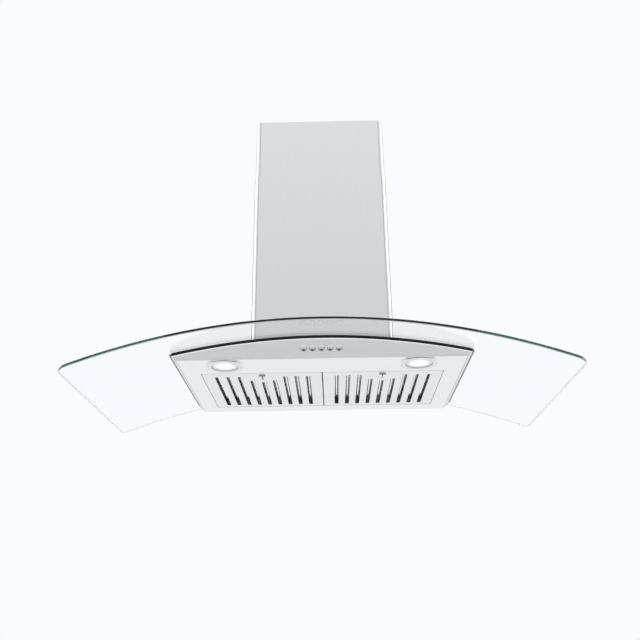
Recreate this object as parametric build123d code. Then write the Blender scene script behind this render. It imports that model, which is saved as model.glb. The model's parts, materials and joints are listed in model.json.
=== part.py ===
from build123d import *
import os
from math import cos, degrees, radians, sin, sqrt, tan

# Wall-mounted chimney hood with an arched glass canopy.
# Millimetres. X to the viewer's right, Y towards the wall, Z up.
# The wall is the plane Y = 0 and Z = 0 is the line of the two wall screws.

# Glass canopy
GLASS_WIDTH = 900.0
GLASS_RISE = 85.6
GLASS_THICK = 6.0
GLASS_CORNER = 18.0
FRONT_OVERHANG = 75.5
REAR_OVERHANG = 24.0
WALL_GAP = 1.0

# Body pan under the glass
BODY_WIDTH = 524.0
BODY_DEPTH = 342.5
BODY_HEIGHT = 44.4
BODY_SHEET = 1.0
BODY_BEND = 2.0
SIDE_LEAN = 51.0
GASKET_HEIGHT = 4.5
GASKET_WIDTH = 5.0
GASKET_INSET = 0.2
GASKET_SIDE_INSET = 2.5
GASKET_CORNER = 2.0
PLATE_GAP = 0.2

# Filter opening and the two filters
FILTER_SETBACK = 78.5
REAR_LEDGE = 38.0
SIDE_LEDGE = 32.0
FILTER_SPLIT = 2.0
FILTER_SIDE_GAP = 1.0
FILTER_FRONT_GAP = 1.0
FILTER_REAR_GAP = 2.0
FILTER_HEIGHT = 12.0
FILTER_SHEET = 0.8
FILTER_CORNER = 3.0
SLOT_COUNT = 9
SLOT_EDGE = 26.4
SLOT_WIDTH = 8.5
SLOT_CORNER = 2.5
SLOT_FRONT = 20.0
SLOT_FRONT_BESIDE = 44.0
SLOT_FRONT_MIDDLE = 54.0
SLOT_REAR = 12.5
BAFFLE_WIDTH = 9.0
BAFFLE_RISE = 2.4
BAFFLE_BITE = 0.4
BAFFLE_REAR = 32.0
BAFFLE_TOP_GAP = 1.0
TIE_WIDTH = 12.0
TIE_FRONT = 70.0
TAB_WIDTH = 22.0
TAB_SPREAD = 150.0
TAB_REACH = 8.0
TAB_THICK = 1.0
HINGE_GAP = 1.6
HINGE_R = 1.0
FLOAT = 0.3

# Filter latch
LATCH_BAR = 12.7
LATCH_BAR_THICK = 2.2
LATCH_BAR_DROP = 2.4
LATCH_BAR_FRONT = 11.0
LATCH_BAR_ROUND = 0.9
LATCH_SLOT_WIDTH = 3.0
LATCH_SLOT_CORNER = 1.2
LATCH_SLOT_LEAD = 1.0
LATCH_SLOT_SPARE = 19.0
LATCH_PLATE_WIDTH = 16.0
LATCH_PLATE_LENGTH = 24.0
LATCH_PLATE_THICK = 1.2
LATCH_BITE = 5.0
LATCH_TRAVEL = 7.0
GUIDE_SHEET = 0.8
GUIDE_LENGTH = 18.0
GUIDE_FRONT = 4.0

# Lamps
LAMP_INSET = 84.0
LAMP_SETBACK = 33.0
BEZEL_R = 35.0
BEZEL_DROP = 2.6
BEZEL_ROUND = 2.2
LENS_R = 25.0
LENS_LIP = 2.0
LENS_THICK = 1.4
LENS_DROP = 0.9
LENS_ROUND = 0.5
LAMP_SLEEVE_R = 30.0
LAMP_SLEEVE_HEIGHT = 6.0
LAMP_GAP = 0.4
LAMP_WALL = 1.5
LAMP_CAN_HEIGHT = 8.0
LAMP_BOARD = 1.2
LAMP_CHIP = 3.0
LAMP_CHIP_HEIGHT = 0.9
LAMP_CHIP_RING = 15.0
LAMP_CHIPS = 8
CLIP_SHEET = 0.6
CLIP_WIDTH = 9.0
CLIP_REACH = 12.0
CLIP_HEIGHT = 8.0

# Push buttons and their switch
BUTTON_COUNT = 5
BUTTON_PITCH = 16.0
BUTTON_HEIGHT = 19.7
BUTTON_R = 5.5
BUTTON_PROUD = 5.0
BUTTON_DOME = 4.6
BUTTON_GAP = 0.4
BUTTON_TAIL = 5.0
STEM_R = 2.5
STEM_GAP = 0.05
STEM_LENGTH = 10.0
SWITCH_SETBACK = 13.0
SWITCH_DEPTH = 22.0
SWITCH_HEIGHT = 19.0
SWITCH_MARGIN = 10.0
SWITCH_ROUND = 1.5
SWITCH_BORE_SPARE = 2.0
SWITCH_SCREW_BITE = 6.0
TERMINAL_WIDTH = 4.0
TERMINAL_LENGTH = 6.0
TERMINAL_THICK = 0.8
BUTTON_TRAVEL = 3.0
BRACKET_SHEET = 1.0
BRACKET_LIP = 12.0
BRACKET_HEIGHT = 23.0

# Chimney
CHIMNEY_WIDTH = 286.0
CHIMNEY_DEPTH = 242.0
CHIMNEY_SHEET = 0.8
CHIMNEY_CORNER = 10.5
CHIMNEY_RETURN = 14.0
CHIMNEY_SLIP = 0.9
GLIDE_WIDTH = 10.0
GLIDE_HEIGHT = 24.0
GLIDE_EDGE = 40.0
LOWER_HEIGHT = 417.6
UPPER_SHOW = 145.3
UPPER_LENGTH = 420.0

# Blower housing and its seat on the glass
HOUSING_SIDE_ROOM = 18.0
HOUSING_FRONT_ROOM = 17.0
HOUSING_HEIGHT = 250.0
HOUSING_SHEET = 1.0
HOUSING_FLANGE = 14.0
RAIL_SPACE = 6.0
PAD_THICK = 3.0
THROAT_WIDTH = 196.0
THROAT_DEPTH = 160.0
THROAT_REAR = 21.0
THROAT_RISE = 15.0
THROAT_CORNER = 10.0
THROAT_FLANGE = 12.0
GLASS_CUT_GAP = 4.0
BOLT_R = 3.0
BOLT_GAP = 0.3
BOLT_HEAD_R = 5.0
BOLT_HEAD = 4.0
BOLT_END = 2.0
GLASS_HOLE_GAP = 2.0
COVER_MARGIN = 16.0
COVER_LAP = 14.0
COVER_BOTTOM = 24.0
COVER_RIB_WIDTH = 130.0
COVER_RIB_HEIGHT = 28.0
COVER_RIB = 2.0
COVER_RIB_ROUND = 1.0
COVER_SCREW = 6.0

# Scroll, impeller and motor
IMPELLER_R = 66.0
IMPELLER_WIDTH = 96.0
BLADE_COUNT = 36
BLADE_DEPTH = 13.0
BLADE_THICK = 1.2
BLADE_SWEEP = 9.0
BLADE_BOW = 2.25
IMPELLER_DISC = 3.0
IMPELLER_RING = 3.0
HUB_R = 12.0
HUB_LENGTH = 20.0
TONGUE_GAP = 10.0
SCROLL_STEP = 9.0
SCROLL_WALL = 1.5
SCROLL_WIDTH = 110.0
SCROLL_BACK_ROOM = 3.0
SCROLL_FLOOR_ROOM = 6.0
INLET_GAP = 1.0
INLET_LIP = 5.0
MOTOR_R = 38.0
MOTOR_LENGTH = 46.0
MOTOR_BEVEL = 5.0
MOTOR_HUB_GAP = 4.0
SHAFT_R = 4.0
SHAFT_GAP = 0.05
SHAFT_IN_MOTOR = 26.0
SPIDER_ARMS = 3
SPIDER_WIDTH = 12.0
SPIDER_SHEET = 2.0
SPIDER_SEAT = 8.0
SPIDER_FOOT = 5.0

# Capacitor, junction box and duct collar
CAPACITOR_R = 15.0
CAPACITOR_HEIGHT = 55.0
CAPACITOR_ROUND = 1.5
CAPACITOR_TERMINALS = 10.0
CAPACITOR_STAND = 2.0
CAPACITOR_BACK = 35.0
CAPACITOR_LIFT = 30.0
STRAP_SHEET = 1.0
STRAP_HEIGHT = 15.0
STRAP_FOOT = 15.0
BOX_LENGTH = 90.0
BOX_HEIGHT = 30.0
BOX_WALL = 2.0
BOX_GAP = 3.5
BOX_REAR = 12.0
BOX_LID = 2.5
BOX_LID_ROUND = 1.2
GLAND_R = 8.0
GLAND_BORE = 4.0
GLAND_LENGTH = 18.0
GLAND_NUT = 7.0
GLAND_THREAD_R = 6.0
GLAND_TAIL = 3.0
GLAND_CAP = 9.0
GLAND_CAP_R = 6.8
GLAND_CAP_ROUND = 2.0
DUCT_R = 74.5
DUCT_WALL = 2.0
DUCT_HEIGHT = 58.0
DUCT_LIP_ROUND = 0.8
DUCT_FLANGE = 2.5
DUCT_FLANGE_LAP = 5.5
COLLAR_SCREW_EDGE = 1.0
COLLAR_SCREW_BITE = 3.0
OUTLET_HOLE_GAP = 2.5
DAMPER_RISE = 22.0
DAMPER_PIN_R = 1.5
DAMPER_PIN_GAP = 0.05
DAMPER_KNUCKLE_R = 3.2
DAMPER_KNUCKLE = 18.0
DAMPER_KNUCKLES = 4
DAMPER_KNUCKLE_GAP = 2.0
DAMPER_THICK = 1.2
DAMPER_EDGE_GAP = 2.0
DAMPER_STOP = 4.0

# Wall rail, chimney clips and top bracket
RAIL_WIDTH = 220.0
RAIL_SHEET = 2.0
RAIL_BELOW = 22.0
RAIL_DROP = 50.4
RAIL_HOOK_Z = 14.0
RAIL_HOOK_WIDTH = 130.0
RAIL_HOOK_RISE = 12.0
RAIL_HOOK_GAP = 1.8
RAIL_WINDOW = 20.0
RAIL_HOLE_R = 4.0
RAIL_HOLE_SPREAD = 180.0
RAIL_ACCESS_R = 9.0
SIDE_CLIP_HEIGHT = 24.0
SIDE_CLIP_DEPTH = 30.0
SIDE_CLIP_LIFT = 14.0
SIDE_CLIP_SHEET = 1.2
TOP_BRACKET_DROP = 40.0
TOP_BRACKET_HEIGHT = 30.0
TOP_BRACKET_SHEET = 1.5
TOP_BRACKET_LEG = 20.0
TOP_BRACKET_EAR = 22.0
TOP_BRACKET_HOLE_R = 3.0
TOP_BRACKET_SPREAD = 160.0

# Screws, and how far a cut reaches past the face it opens
SCREW_R = 2.0
SCREW_HEAD_R = 3.8
SCREW_HEAD = 2.2
SCREW_DOME = 1.0
SCREW_CROSS = 4.6
SHEET_SCREW_END = 3.0
SCREW_RECESS = 1.0
SCREW_SLOT = 0.9
CUT = 1.0

# Places worked out from the sizes
GLASS_BACK_Y = -WALL_GAP
BODY_BACK_Y = GLASS_BACK_Y - REAR_OVERHANG
BODY_FRONT_Y = BODY_BACK_Y - BODY_DEPTH
GLASS_FRONT_Y = BODY_FRONT_Y - FRONT_OVERHANG
GLASS_DEPTH = GLASS_BACK_Y - GLASS_FRONT_Y
BODY_MID_Y = (BODY_FRONT_Y + BODY_BACK_Y) / 2
UNDERSIDE_Z = RAIL_DROP - HOUSING_HEIGHT - GLASS_THICK - BODY_HEIGHT
FLOOR_Z = UNDERSIDE_Z + BODY_SHEET
ARCH_R = ((GLASS_WIDTH / 2) ** 2 + GLASS_RISE ** 2) / (2 * GLASS_RISE)
ARCH_Z = UNDERSIDE_Z + BODY_HEIGHT - ARCH_R
GLASS_TOP_R = ARCH_R + GLASS_THICK
GLASS_TOP_Z = ARCH_Z + GLASS_TOP_R
PAD_TOP_R = GLASS_TOP_R + PAD_THICK
PLATE_R = ARCH_R - GASKET_HEIGHT
SIDE_SLOPE = tan(radians(SIDE_LEAN))

OPENING_WIDTH = BODY_WIDTH - 2 * SIDE_LEDGE
OPENING_FRONT_Y = BODY_FRONT_Y + FILTER_SETBACK
OPENING_BACK_Y = BODY_BACK_Y - REAR_LEDGE
FILTER_WIDTH = (OPENING_WIDTH - FILTER_SPLIT) / 2 - FILTER_SIDE_GAP
FILTER_X = (FILTER_WIDTH + FILTER_SPLIT) / 2
FILTER_FRONT_Y = OPENING_FRONT_Y + FILTER_FRONT_GAP
FILTER_BACK_Y = OPENING_BACK_Y - FILTER_REAR_GAP
FILTER_DEPTH = FILTER_BACK_Y - FILTER_FRONT_Y
SLOT_PITCH = (FILTER_WIDTH - 2 * SLOT_EDGE) / (SLOT_COUNT - 1)
HINGE_Y = OPENING_BACK_Y - HINGE_GAP
HINGE_Z = FLOOR_Z + FLOAT + TAB_THICK / 2
LATCH_Z = FLOOR_Z + FLOAT

LAMP_X = BODY_WIDTH / 2 - LAMP_INSET
LAMP_Y = BODY_FRONT_Y + LAMP_SETBACK
BUTTON_Z = UNDERSIDE_Z + BUTTON_HEIGHT
SWITCH_FRONT_Y = BODY_FRONT_Y + SWITCH_SETBACK
SWITCH_HALF = (BUTTON_COUNT - 1) / 2 * BUTTON_PITCH + SWITCH_MARGIN

CHIMNEY_BACK_Y = -WALL_GAP
CHIMNEY_FRONT_Y = CHIMNEY_BACK_Y - CHIMNEY_DEPTH
LOWER_TOP_Z = GLASS_TOP_Z + LOWER_HEIGHT
UPPER_TOP_Z = LOWER_TOP_Z + UPPER_SHOW
UPPER_INSET = CHIMNEY_SHEET + CHIMNEY_SLIP
UPPER_HALF = CHIMNEY_WIDTH / 2 - UPPER_INSET

HOUSING_HALF = CHIMNEY_WIDTH / 2 - HOUSING_SIDE_ROOM
HOUSING_BACK_Y = -RAIL_SPACE
HOUSING_FRONT_Y = CHIMNEY_FRONT_Y + HOUSING_FRONT_ROOM
HOUSING_TOP_Z = GLASS_TOP_Z + HOUSING_HEIGHT
HOUSING_FLOOR_Z = GLASS_TOP_Z + PAD_THICK + HOUSING_SHEET
THROAT_Y = BODY_BACK_Y - THROAT_REAR - THROAT_DEPTH / 2
BOLT_X = HOUSING_HALF - HOUSING_FLANGE / 2
BOLT_YS = (THROAT_Y - THROAT_DEPTH / 2 + HOUSING_FLANGE, THROAT_Y + THROAT_DEPTH / 2 - HOUSING_FLANGE)

SCROLL_R = IMPELLER_R + TONGUE_GAP
SCROLL_Y = HOUSING_BACK_Y - HOUSING_SHEET - SCROLL_BACK_ROOM - SCROLL_WALL - SCROLL_R
SCROLL_Z = HOUSING_FLOOR_Z + SCROLL_FLOOR_ROOM + SCROLL_WALL + SCROLL_R + SCROLL_STEP
SCROLL_TOP_Z = HOUSING_TOP_Z - HOUSING_SHEET
OUTLET_WIDTH = SCROLL_R + 3 * SCROLL_STEP
OUTLET_Y = SCROLL_Y - OUTLET_WIDTH / 2
INLET_R = IMPELLER_R - BLADE_DEPTH - INLET_GAP
MOTOR_BACK_X = -HUB_LENGTH / 2 - MOTOR_HUB_GAP
MOTOR_FRONT_X = MOTOR_BACK_X - MOTOR_LENGTH
SPIDER_X = min(MOTOR_FRONT_X, -SCROLL_WIDTH / 2 - INLET_LIP - FLOAT)

COLLAR_HALF = DUCT_R + DUCT_FLANGE_LAP
DAMPER_Z = HOUSING_TOP_Z + DAMPER_RISE
BOX_WIDTH = HOUSING_HALF - COLLAR_HALF - 2 * BOX_GAP
BOX_LEFT_X = -HOUSING_HALF + BOX_GAP
BOX_BACK_Y = HOUSING_BACK_Y - BOX_REAR
CAPACITOR_X = -HOUSING_HALF + HOUSING_SHEET + CAPACITOR_STAND + CAPACITOR_R
CAPACITOR_Y = HOUSING_FRONT_Y + CAPACITOR_BACK
CAPACITOR_Z = HOUSING_FLOOR_Z + CAPACITOR_LIFT
TOP_BRACKET_Z = UPPER_TOP_Z - TOP_BRACKET_DROP
SIDES = {"left": -1, "right": 1}


# Helpers

def block(x0, x1, y0, y1, z0, z1):
    """Box between two opposite corners."""
    return Pos((x0 + x1) / 2, (y0 + y1) / 2, (z0 + z1) / 2) * Box(x1 - x0, y1 - y0, z1 - z0)


def rod_x(radius, x0, x1, y, z):
    return Pos((x0 + x1) / 2, y, z) * Rot(0, 90, 0) * Cylinder(radius, x1 - x0)


def rod_y(radius, y0, y1, x, z):
    return Pos(x, (y0 + y1) / 2, z) * Rot(90, 0, 0) * Cylinder(radius, y1 - y0)


def rod_z(radius, z0, z1, x, y):
    return Pos(x, y, (z0 + z1) / 2) * Cylinder(radius, z1 - z0)


def prism(width, depth, corner, x, y, z0, z1):
    """Upright prism on a rectangle with rounded corners."""
    return extrude(Pos(x, y, z0) * RectangleRounded(width, depth, corner), amount=z1 - z0)


def arch(radius):
    """Solid cylinder about the canopy's arch axis, long enough to cut any piece."""
    return rod_y(radius, GLASS_FRONT_Y - GLASS_DEPTH, GLASS_DEPTH, 0, ARCH_Z)


def arch_band(radius, thick):
    return arch(radius + thick) - arch(radius)


def between(low, high):
    """Height range that covers every arched sheet."""
    return UNDERSIDE_Z - GLASS_RISE + low, GLASS_TOP_Z + high


def pan_screw(length):
    """Pan-head screw along +Z: the head's underside is at the origin and the shank points down."""
    head = Pos(0, 0, SCREW_HEAD / 2) * Cylinder(SCREW_HEAD_R, SCREW_HEAD)
    head = fillet(head.edges().group_by(Axis.Z)[-1], SCREW_DOME)
    shank = Pos(0, 0, -length / 2) * Cylinder(SCREW_R, length)
    cross = Box(SCREW_CROSS, SCREW_SLOT, 2 * SCREW_RECESS)
    cross += Box(SCREW_SLOT, SCREW_CROSS, 2 * SCREW_RECESS)
    return head + shank - Pos(0, 0, SCREW_HEAD) * cross


def group(solids):
    """Separate solids kept together in one node."""
    return Compound(children=list(solids))


# Glass and its seals

def throat_prism(grow, low, high):
    z0, z1 = between(low, high)
    width, depth = THROAT_WIDTH + 2 * grow, THROAT_DEPTH + 2 * grow
    return prism(width, depth, THROAT_CORNER + grow, 0, THROAT_Y, z0, z1)


def bolt_holes(radius):
    z0, z1 = between(0, HOUSING_HEIGHT / 2)
    return Part() + [rod_z(radius, z0, z1, s * BOLT_X, y) for s in (-1, 1) for y in BOLT_YS]


def glass_canopy():
    z0, z1 = between(-GLASS_THICK, GLASS_THICK)
    mid_y = (GLASS_FRONT_Y + GLASS_BACK_Y) / 2
    plan = prism(GLASS_WIDTH, GLASS_DEPTH, GLASS_CORNER, 0, mid_y, z0, z1)
    plate = plan & arch_band(ARCH_R, GLASS_THICK)
    return plate - throat_prism(GLASS_CUT_GAP, 0, GLASS_RISE) - bolt_holes(BOLT_R + GLASS_HOLE_GAP)


def body_space(inset, z0, z1):
    """Space within the body's upright front and rear and its leaning sides, each moved in by inset."""
    half = BODY_WIDTH / 2 - inset / cos(radians(SIDE_LEAN))
    low, high = (half + (z - UNDERSIDE_Z) * SIDE_SLOPE for z in (z0, z1))
    section = Polygon((-low, z0), (low, z0), (high, z1), (-high, z1), align=None)
    section = Plane.XZ.offset(inset - BODY_BACK_Y) * section
    return extrude(section, amount=BODY_DEPTH - 2 * inset, dir=(0, -1, 0))


def bent(shape, radius):
    """Rounds every edge of a shape but those of its open top."""
    return fillet(shape.edges() - shape.edges().group_by(Axis.Z)[-1], radius)


def body_top_half():
    """Half the body's width where its leaning sides meet the arch below the gasket."""
    rise = 1 / SIDE_SLOPE
    start = UNDERSIDE_Z - ARCH_Z - rise * BODY_WIDTH / 2
    spread = 1 + rise ** 2
    return (sqrt(spread * PLATE_R ** 2 - start ** 2) - rise * start) / spread


def gasket_plan(inset, z0, z1):
    width = 2 * (body_top_half() - GASKET_SIDE_INSET - inset)
    depth = BODY_DEPTH - 2 * (GASKET_INSET + inset)
    return prism(width, depth, max(GASKET_CORNER - inset, FLOAT), 0, BODY_MID_Y, z0, z1)


def glass_gasket():
    z0, z1 = between(0, GLASS_THICK)
    ring = gasket_plan(0, z0, z1) - gasket_plan(GASKET_WIDTH, z0, z1)
    return ring & arch_band(PLATE_R, GASKET_HEIGHT)


def body_pan():
    top = UNDERSIDE_Z + BODY_HEIGHT + GLASS_THICK
    outer = bent(body_space(0, UNDERSIDE_Z, top), BODY_BEND)
    inner = bent(body_space(BODY_SHEET, FLOOR_Z, top + GLASS_THICK), BODY_BEND - BODY_SHEET)
    opening = block(-OPENING_WIDTH / 2, OPENING_WIDTH / 2, OPENING_FRONT_Y, OPENING_BACK_Y,
                    UNDERSIDE_Z - BODY_SHEET, FLOOR_Z + BODY_SHEET)
    pan = (outer & arch(PLATE_R)) - inner - opening
    for side in SIDES.values():
        pan -= rod_z(LAMP_SLEEVE_R + LAMP_GAP, UNDERSIDE_Z - CUT, FLOOR_Z + CUT, side * LAMP_X, LAMP_Y)
    panel_back = BODY_FRONT_Y + BODY_SHEET
    for x in button_places():
        pan -= rod_y(BUTTON_R + BUTTON_GAP, BODY_FRONT_Y - CUT, panel_back + CUT, x, BUTTON_Z)
    return pan


def top_plate():
    z0, z1 = between(0, GLASS_THICK)
    space = bent(body_space(BODY_SHEET + PLATE_GAP, z0, z1), BODY_BEND)
    sheet = space & arch_band(PLATE_R - BODY_SHEET, BODY_SHEET)
    return sheet - throat_prism(PLATE_GAP, 0, GLASS_THICK) - bolt_holes(BOLT_R + BOLT_GAP)


def throat_collar():
    flange_r = PLATE_R - 2 * BODY_SHEET
    flange = throat_prism(THROAT_FLANGE, 0, 0) & arch_band(flange_r, BODY_SHEET)
    tube = throat_prism(0, 0, THROAT_RISE) - arch(flange_r)
    return flange + tube - throat_prism(-BODY_SHEET, 0, HOUSING_HEIGHT)


def housing_plan(inset, z0, z1):
    return block(-HOUSING_HALF + inset, HOUSING_HALF - inset, HOUSING_FRONT_Y + inset,
                 HOUSING_BACK_Y - inset, z0, z1)


def blower_pad():
    z0, z1 = between(0, GLASS_RISE)
    ring = housing_plan(0, z0, z1) - housing_plan(HOUSING_FLANGE, z0, z1)
    return (ring & arch_band(GLASS_TOP_R, PAD_THICK)) - bolt_holes(BOLT_R + BOLT_GAP)


def clamp_bolts():
    """Four bolts that clamp the glass between the top plate and the blower housing."""
    bolts = []
    for side in (-1, 1):
        for y in BOLT_YS:
            x = side * BOLT_X
            low = ARCH_Z + sqrt((PLATE_R - BODY_SHEET) ** 2 - (BOLT_X + BOLT_HEAD_R) ** 2)
            high = ARCH_Z + sqrt((PAD_TOP_R + HOUSING_SHEET) ** 2 - (BOLT_X - BOLT_HEAD_R) ** 2)
            bolt = rod_z(BOLT_R, low, high + BOLT_HEAD + BOLT_END, x, y)
            bolt += Pos(x, y, low - BOLT_HEAD) * extrude(RegularPolygon(BOLT_HEAD_R, 6), amount=BOLT_HEAD)
            bolt += Pos(x, y, high) * extrude(RegularPolygon(BOLT_HEAD_R, 6), amount=BOLT_HEAD)
            bolts.append(bolt)
    return group(bolts)


# Filters

def slot_places(side):
    """X, front Y and back Y of each slot of one filter."""
    middle = (SLOT_COUNT - 1) // 2
    places = []
    for i in range(SLOT_COUNT):
        front = {0: SLOT_FRONT_MIDDLE, 1: SLOT_FRONT_BESIDE}.get(abs(i - middle), SLOT_FRONT)
        x = side * FILTER_X + (i - (SLOT_COUNT - 1) / 2) * SLOT_PITCH
        places.append((x, FILTER_FRONT_Y + front, FILTER_BACK_Y - SLOT_REAR))
    return places


def filter_pan(side):
    """Slotted face with turned-up walls; two rear tabs with a rolled bead carry its hinge line."""
    x = side * FILTER_X
    top = UNDERSIDE_Z + FILTER_HEIGHT
    mid_y = (FILTER_FRONT_Y + FILTER_BACK_Y) / 2
    pan = prism(FILTER_WIDTH, FILTER_DEPTH, FILTER_CORNER, x, mid_y, UNDERSIDE_Z, top)
    pan -= prism(FILTER_WIDTH - 2 * FILTER_SHEET, FILTER_DEPTH - 2 * FILTER_SHEET,
                 FILTER_CORNER - FILTER_SHEET, x, mid_y, UNDERSIDE_Z + FILTER_SHEET, top + CUT)
    cuts = []
    z0, z1 = UNDERSIDE_Z - CUT, UNDERSIDE_Z + FILTER_SHEET + CUT
    for slot_x, front, back in slot_places(side):
        cuts.append(prism(SLOT_WIDTH, back - front, SLOT_CORNER, slot_x, (front + back) / 2, z0, z1))
    bar_front = FILTER_FRONT_Y + LATCH_BAR_FRONT
    slot_front = bar_front - LATCH_SLOT_LEAD
    slot_back = bar_front + LATCH_BAR_THICK + LATCH_TRAVEL + LATCH_SLOT_SPARE
    slot_mid = (slot_front + slot_back) / 2
    cuts.append(prism(LATCH_SLOT_WIDTH, slot_back - slot_front, LATCH_SLOT_CORNER, x, slot_mid, z0, z1))
    window = LATCH_PLATE_WIDTH / 2 + FLOAT
    cuts.append(block(x - window, x + window, FILTER_FRONT_Y - CUT, FILTER_FRONT_Y + FILTER_SHEET + CUT,
                      LATCH_Z - FLOAT / 2, LATCH_Z + LATCH_PLATE_THICK + FLOAT))
    pan -= cuts
    for tab in (-1, 1):
        x0 = x + tab * TAB_SPREAD / 2 - TAB_WIDTH / 2
        pan += block(x0, x0 + TAB_WIDTH, FILTER_BACK_Y - FILTER_SHEET, OPENING_BACK_Y + TAB_REACH,
                     FLOOR_Z + FLOAT, FLOOR_Z + FLOAT + TAB_THICK)
        pan += rod_x(HINGE_R, x0, x0 + TAB_WIDTH, HINGE_Y, HINGE_Z)
    return pan


def filter_baffles(side):
    """Inverted gutters over the slots, tied by two cross strips."""
    x = side * FILTER_X
    strip_top = UNDERSIDE_Z + FILTER_HEIGHT - BAFFLE_TOP_GAP / 2
    strip_low = strip_top - FILTER_SHEET
    crown = strip_low + BAFFLE_BITE
    half = BAFFLE_WIDTH / 2
    radius = (half ** 2 + BAFFLE_RISE ** 2) / (2 * BAFFLE_RISE)
    back = FILTER_BACK_Y - BAFFLE_REAR
    solids = []
    for slot_x, front, _ in slot_places(side):
        gutter = rod_y(radius, front - FLOAT, back, slot_x, crown - radius)
        gutter -= rod_y(radius - FILTER_SHEET, front - CUT, back + CUT, slot_x, crown - radius)
        gutter &= block(slot_x - half, slot_x + half, front - CUT, back + CUT, crown - BAFFLE_RISE, crown + CUT)
        solids.append(gutter)
    inner = FILTER_WIDTH / 2 - FILTER_SHEET
    for front in (FILTER_FRONT_Y + TIE_FRONT, back - 2 * TIE_WIDTH):
        solids.append(block(x - inner, x + inner, front, front + TIE_WIDTH, strip_low, strip_top))
    return Part() + solids


def filter_latch(side):
    """Sliding bolt with a finger bar under the filter's face."""
    x = side * FILTER_X
    plate_front = OPENING_FRONT_Y - LATCH_BITE
    plate = block(x - LATCH_PLATE_WIDTH / 2, x + LATCH_PLATE_WIDTH / 2, plate_front,
                  plate_front + LATCH_PLATE_LENGTH, LATCH_Z, LATCH_Z + LATCH_PLATE_THICK)
    bar_front = FILTER_FRONT_Y + LATCH_BAR_FRONT
    neck_half = LATCH_SLOT_WIDTH / 2 - FLOAT
    neck = block(x - neck_half, x + neck_half, bar_front, bar_front + LATCH_BAR_THICK,
                 UNDERSIDE_Z - LATCH_BAR_DROP / 2, LATCH_Z + LATCH_PLATE_THICK / 2)
    bar = block(x - LATCH_BAR / 2, x + LATCH_BAR / 2, bar_front, bar_front + LATCH_BAR_THICK,
                UNDERSIDE_Z - LATCH_BAR_DROP, UNDERSIDE_Z - FLOAT)
    bar = fillet(bar.edges().group_by(Axis.Z)[0], LATCH_BAR_ROUND)
    return plate + neck + bar


def filter_guide(side):
    """Bridge over the latch plate, seated on the filter's face."""
    x = side * FILTER_X
    face = UNDERSIDE_Z + FILTER_SHEET
    inner = LATCH_PLATE_WIDTH / 2 + FLOAT
    roof = LATCH_Z + LATCH_PLATE_THICK + FLOAT
    front = FILTER_FRONT_Y + GUIDE_FRONT
    bridge = block(x - inner - GUIDE_SHEET, x + inner + GUIDE_SHEET, front, front + GUIDE_LENGTH,
                   face, roof + GUIDE_SHEET)
    bridge -= block(x - inner, x + inner, front - CUT, front + GUIDE_LENGTH + CUT, face - CUT, roof)
    return bridge


# Lamps

def ring_z(outer, inner, z0, z1, x, y):
    return rod_z(outer, z0, z1, x, y) - rod_z(inner, z0 - CUT, z1 + CUT, x, y)


def lamp_bezel(side):
    x = side * LAMP_X
    low = UNDERSIDE_Z - BEZEL_DROP
    flange = rod_z(BEZEL_R, low, UNDERSIDE_Z, x, LAMP_Y)
    flange = fillet(flange.edges().group_by(Axis.Z)[0], BEZEL_ROUND)
    flange -= rod_z(LENS_R + FLOAT, low - CUT, UNDERSIDE_Z + CUT, x, LAMP_Y)
    sleeve = ring_z(LAMP_SLEEVE_R, LENS_R + LENS_LIP + FLOAT, UNDERSIDE_Z,
                    UNDERSIDE_Z + LAMP_SLEEVE_HEIGHT, x, LAMP_Y)
    return flange + sleeve


def lamp_lens(side):
    x = side * LAMP_X
    low = UNDERSIDE_Z - LENS_DROP
    window = rod_z(LENS_R, low, UNDERSIDE_Z + LENS_THICK, x, LAMP_Y)
    window = fillet(window.edges().group_by(Axis.Z)[0], LENS_ROUND)
    return window + rod_z(LENS_R + LENS_LIP, UNDERSIDE_Z, UNDERSIDE_Z + LENS_THICK, x, LAMP_Y)


def lamp_housing(side):
    x = side * LAMP_X
    low = UNDERSIDE_Z + LAMP_SLEEVE_HEIGHT
    can = rod_z(LAMP_SLEEVE_R, low, low + LAMP_CAN_HEIGHT, x, LAMP_Y)
    can = fillet(can.edges().group_by(Axis.Z)[-1], LAMP_WALL)
    can -= rod_z(LAMP_SLEEVE_R - LAMP_WALL, low - CUT, low + LAMP_CAN_HEIGHT - LAMP_WALL, x, LAMP_Y)
    return can


def lamp_board(side):
    """Round board with a ring of light chips, fixed under the can's roof."""
    x = side * LAMP_X
    roof = UNDERSIDE_Z + LAMP_SLEEVE_HEIGHT + LAMP_CAN_HEIGHT - LAMP_WALL
    board = rod_z(LAMP_SLEEVE_R - LAMP_WALL - FLOAT, roof - LAMP_BOARD, roof, x, LAMP_Y)
    chip = Box(LAMP_CHIP, LAMP_CHIP, LAMP_CHIP_HEIGHT)
    chip_z = roof - LAMP_BOARD - LAMP_CHIP_HEIGHT / 2
    ring = PolarLocations(LAMP_CHIP_RING, LAMP_CHIPS)
    return board + [Pos(x, LAMP_Y, chip_z) * place * chip for place in ring]


def lamp_clips(side):
    """Two spring clips that hold the lamp against the underside."""
    near = LAMP_SLEEVE_R + FLOAT
    half = CLIP_WIDTH / 2
    clip = block(near, near + CLIP_REACH, -half, half, FLOOR_Z, FLOOR_Z + CLIP_SHEET)
    clip += block(near, near + CLIP_SHEET, -half, half, FLOOR_Z, FLOOR_Z + CLIP_HEIGHT)
    return group(Pos(side * LAMP_X, LAMP_Y, 0) * Rot(0, 0, turn) * clip for turn in (0, 180))


# Buttons and switch

def button_places():
    return [(i - (BUTTON_COUNT - 1) / 2) * BUTTON_PITCH for i in range(BUTTON_COUNT)]


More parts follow.
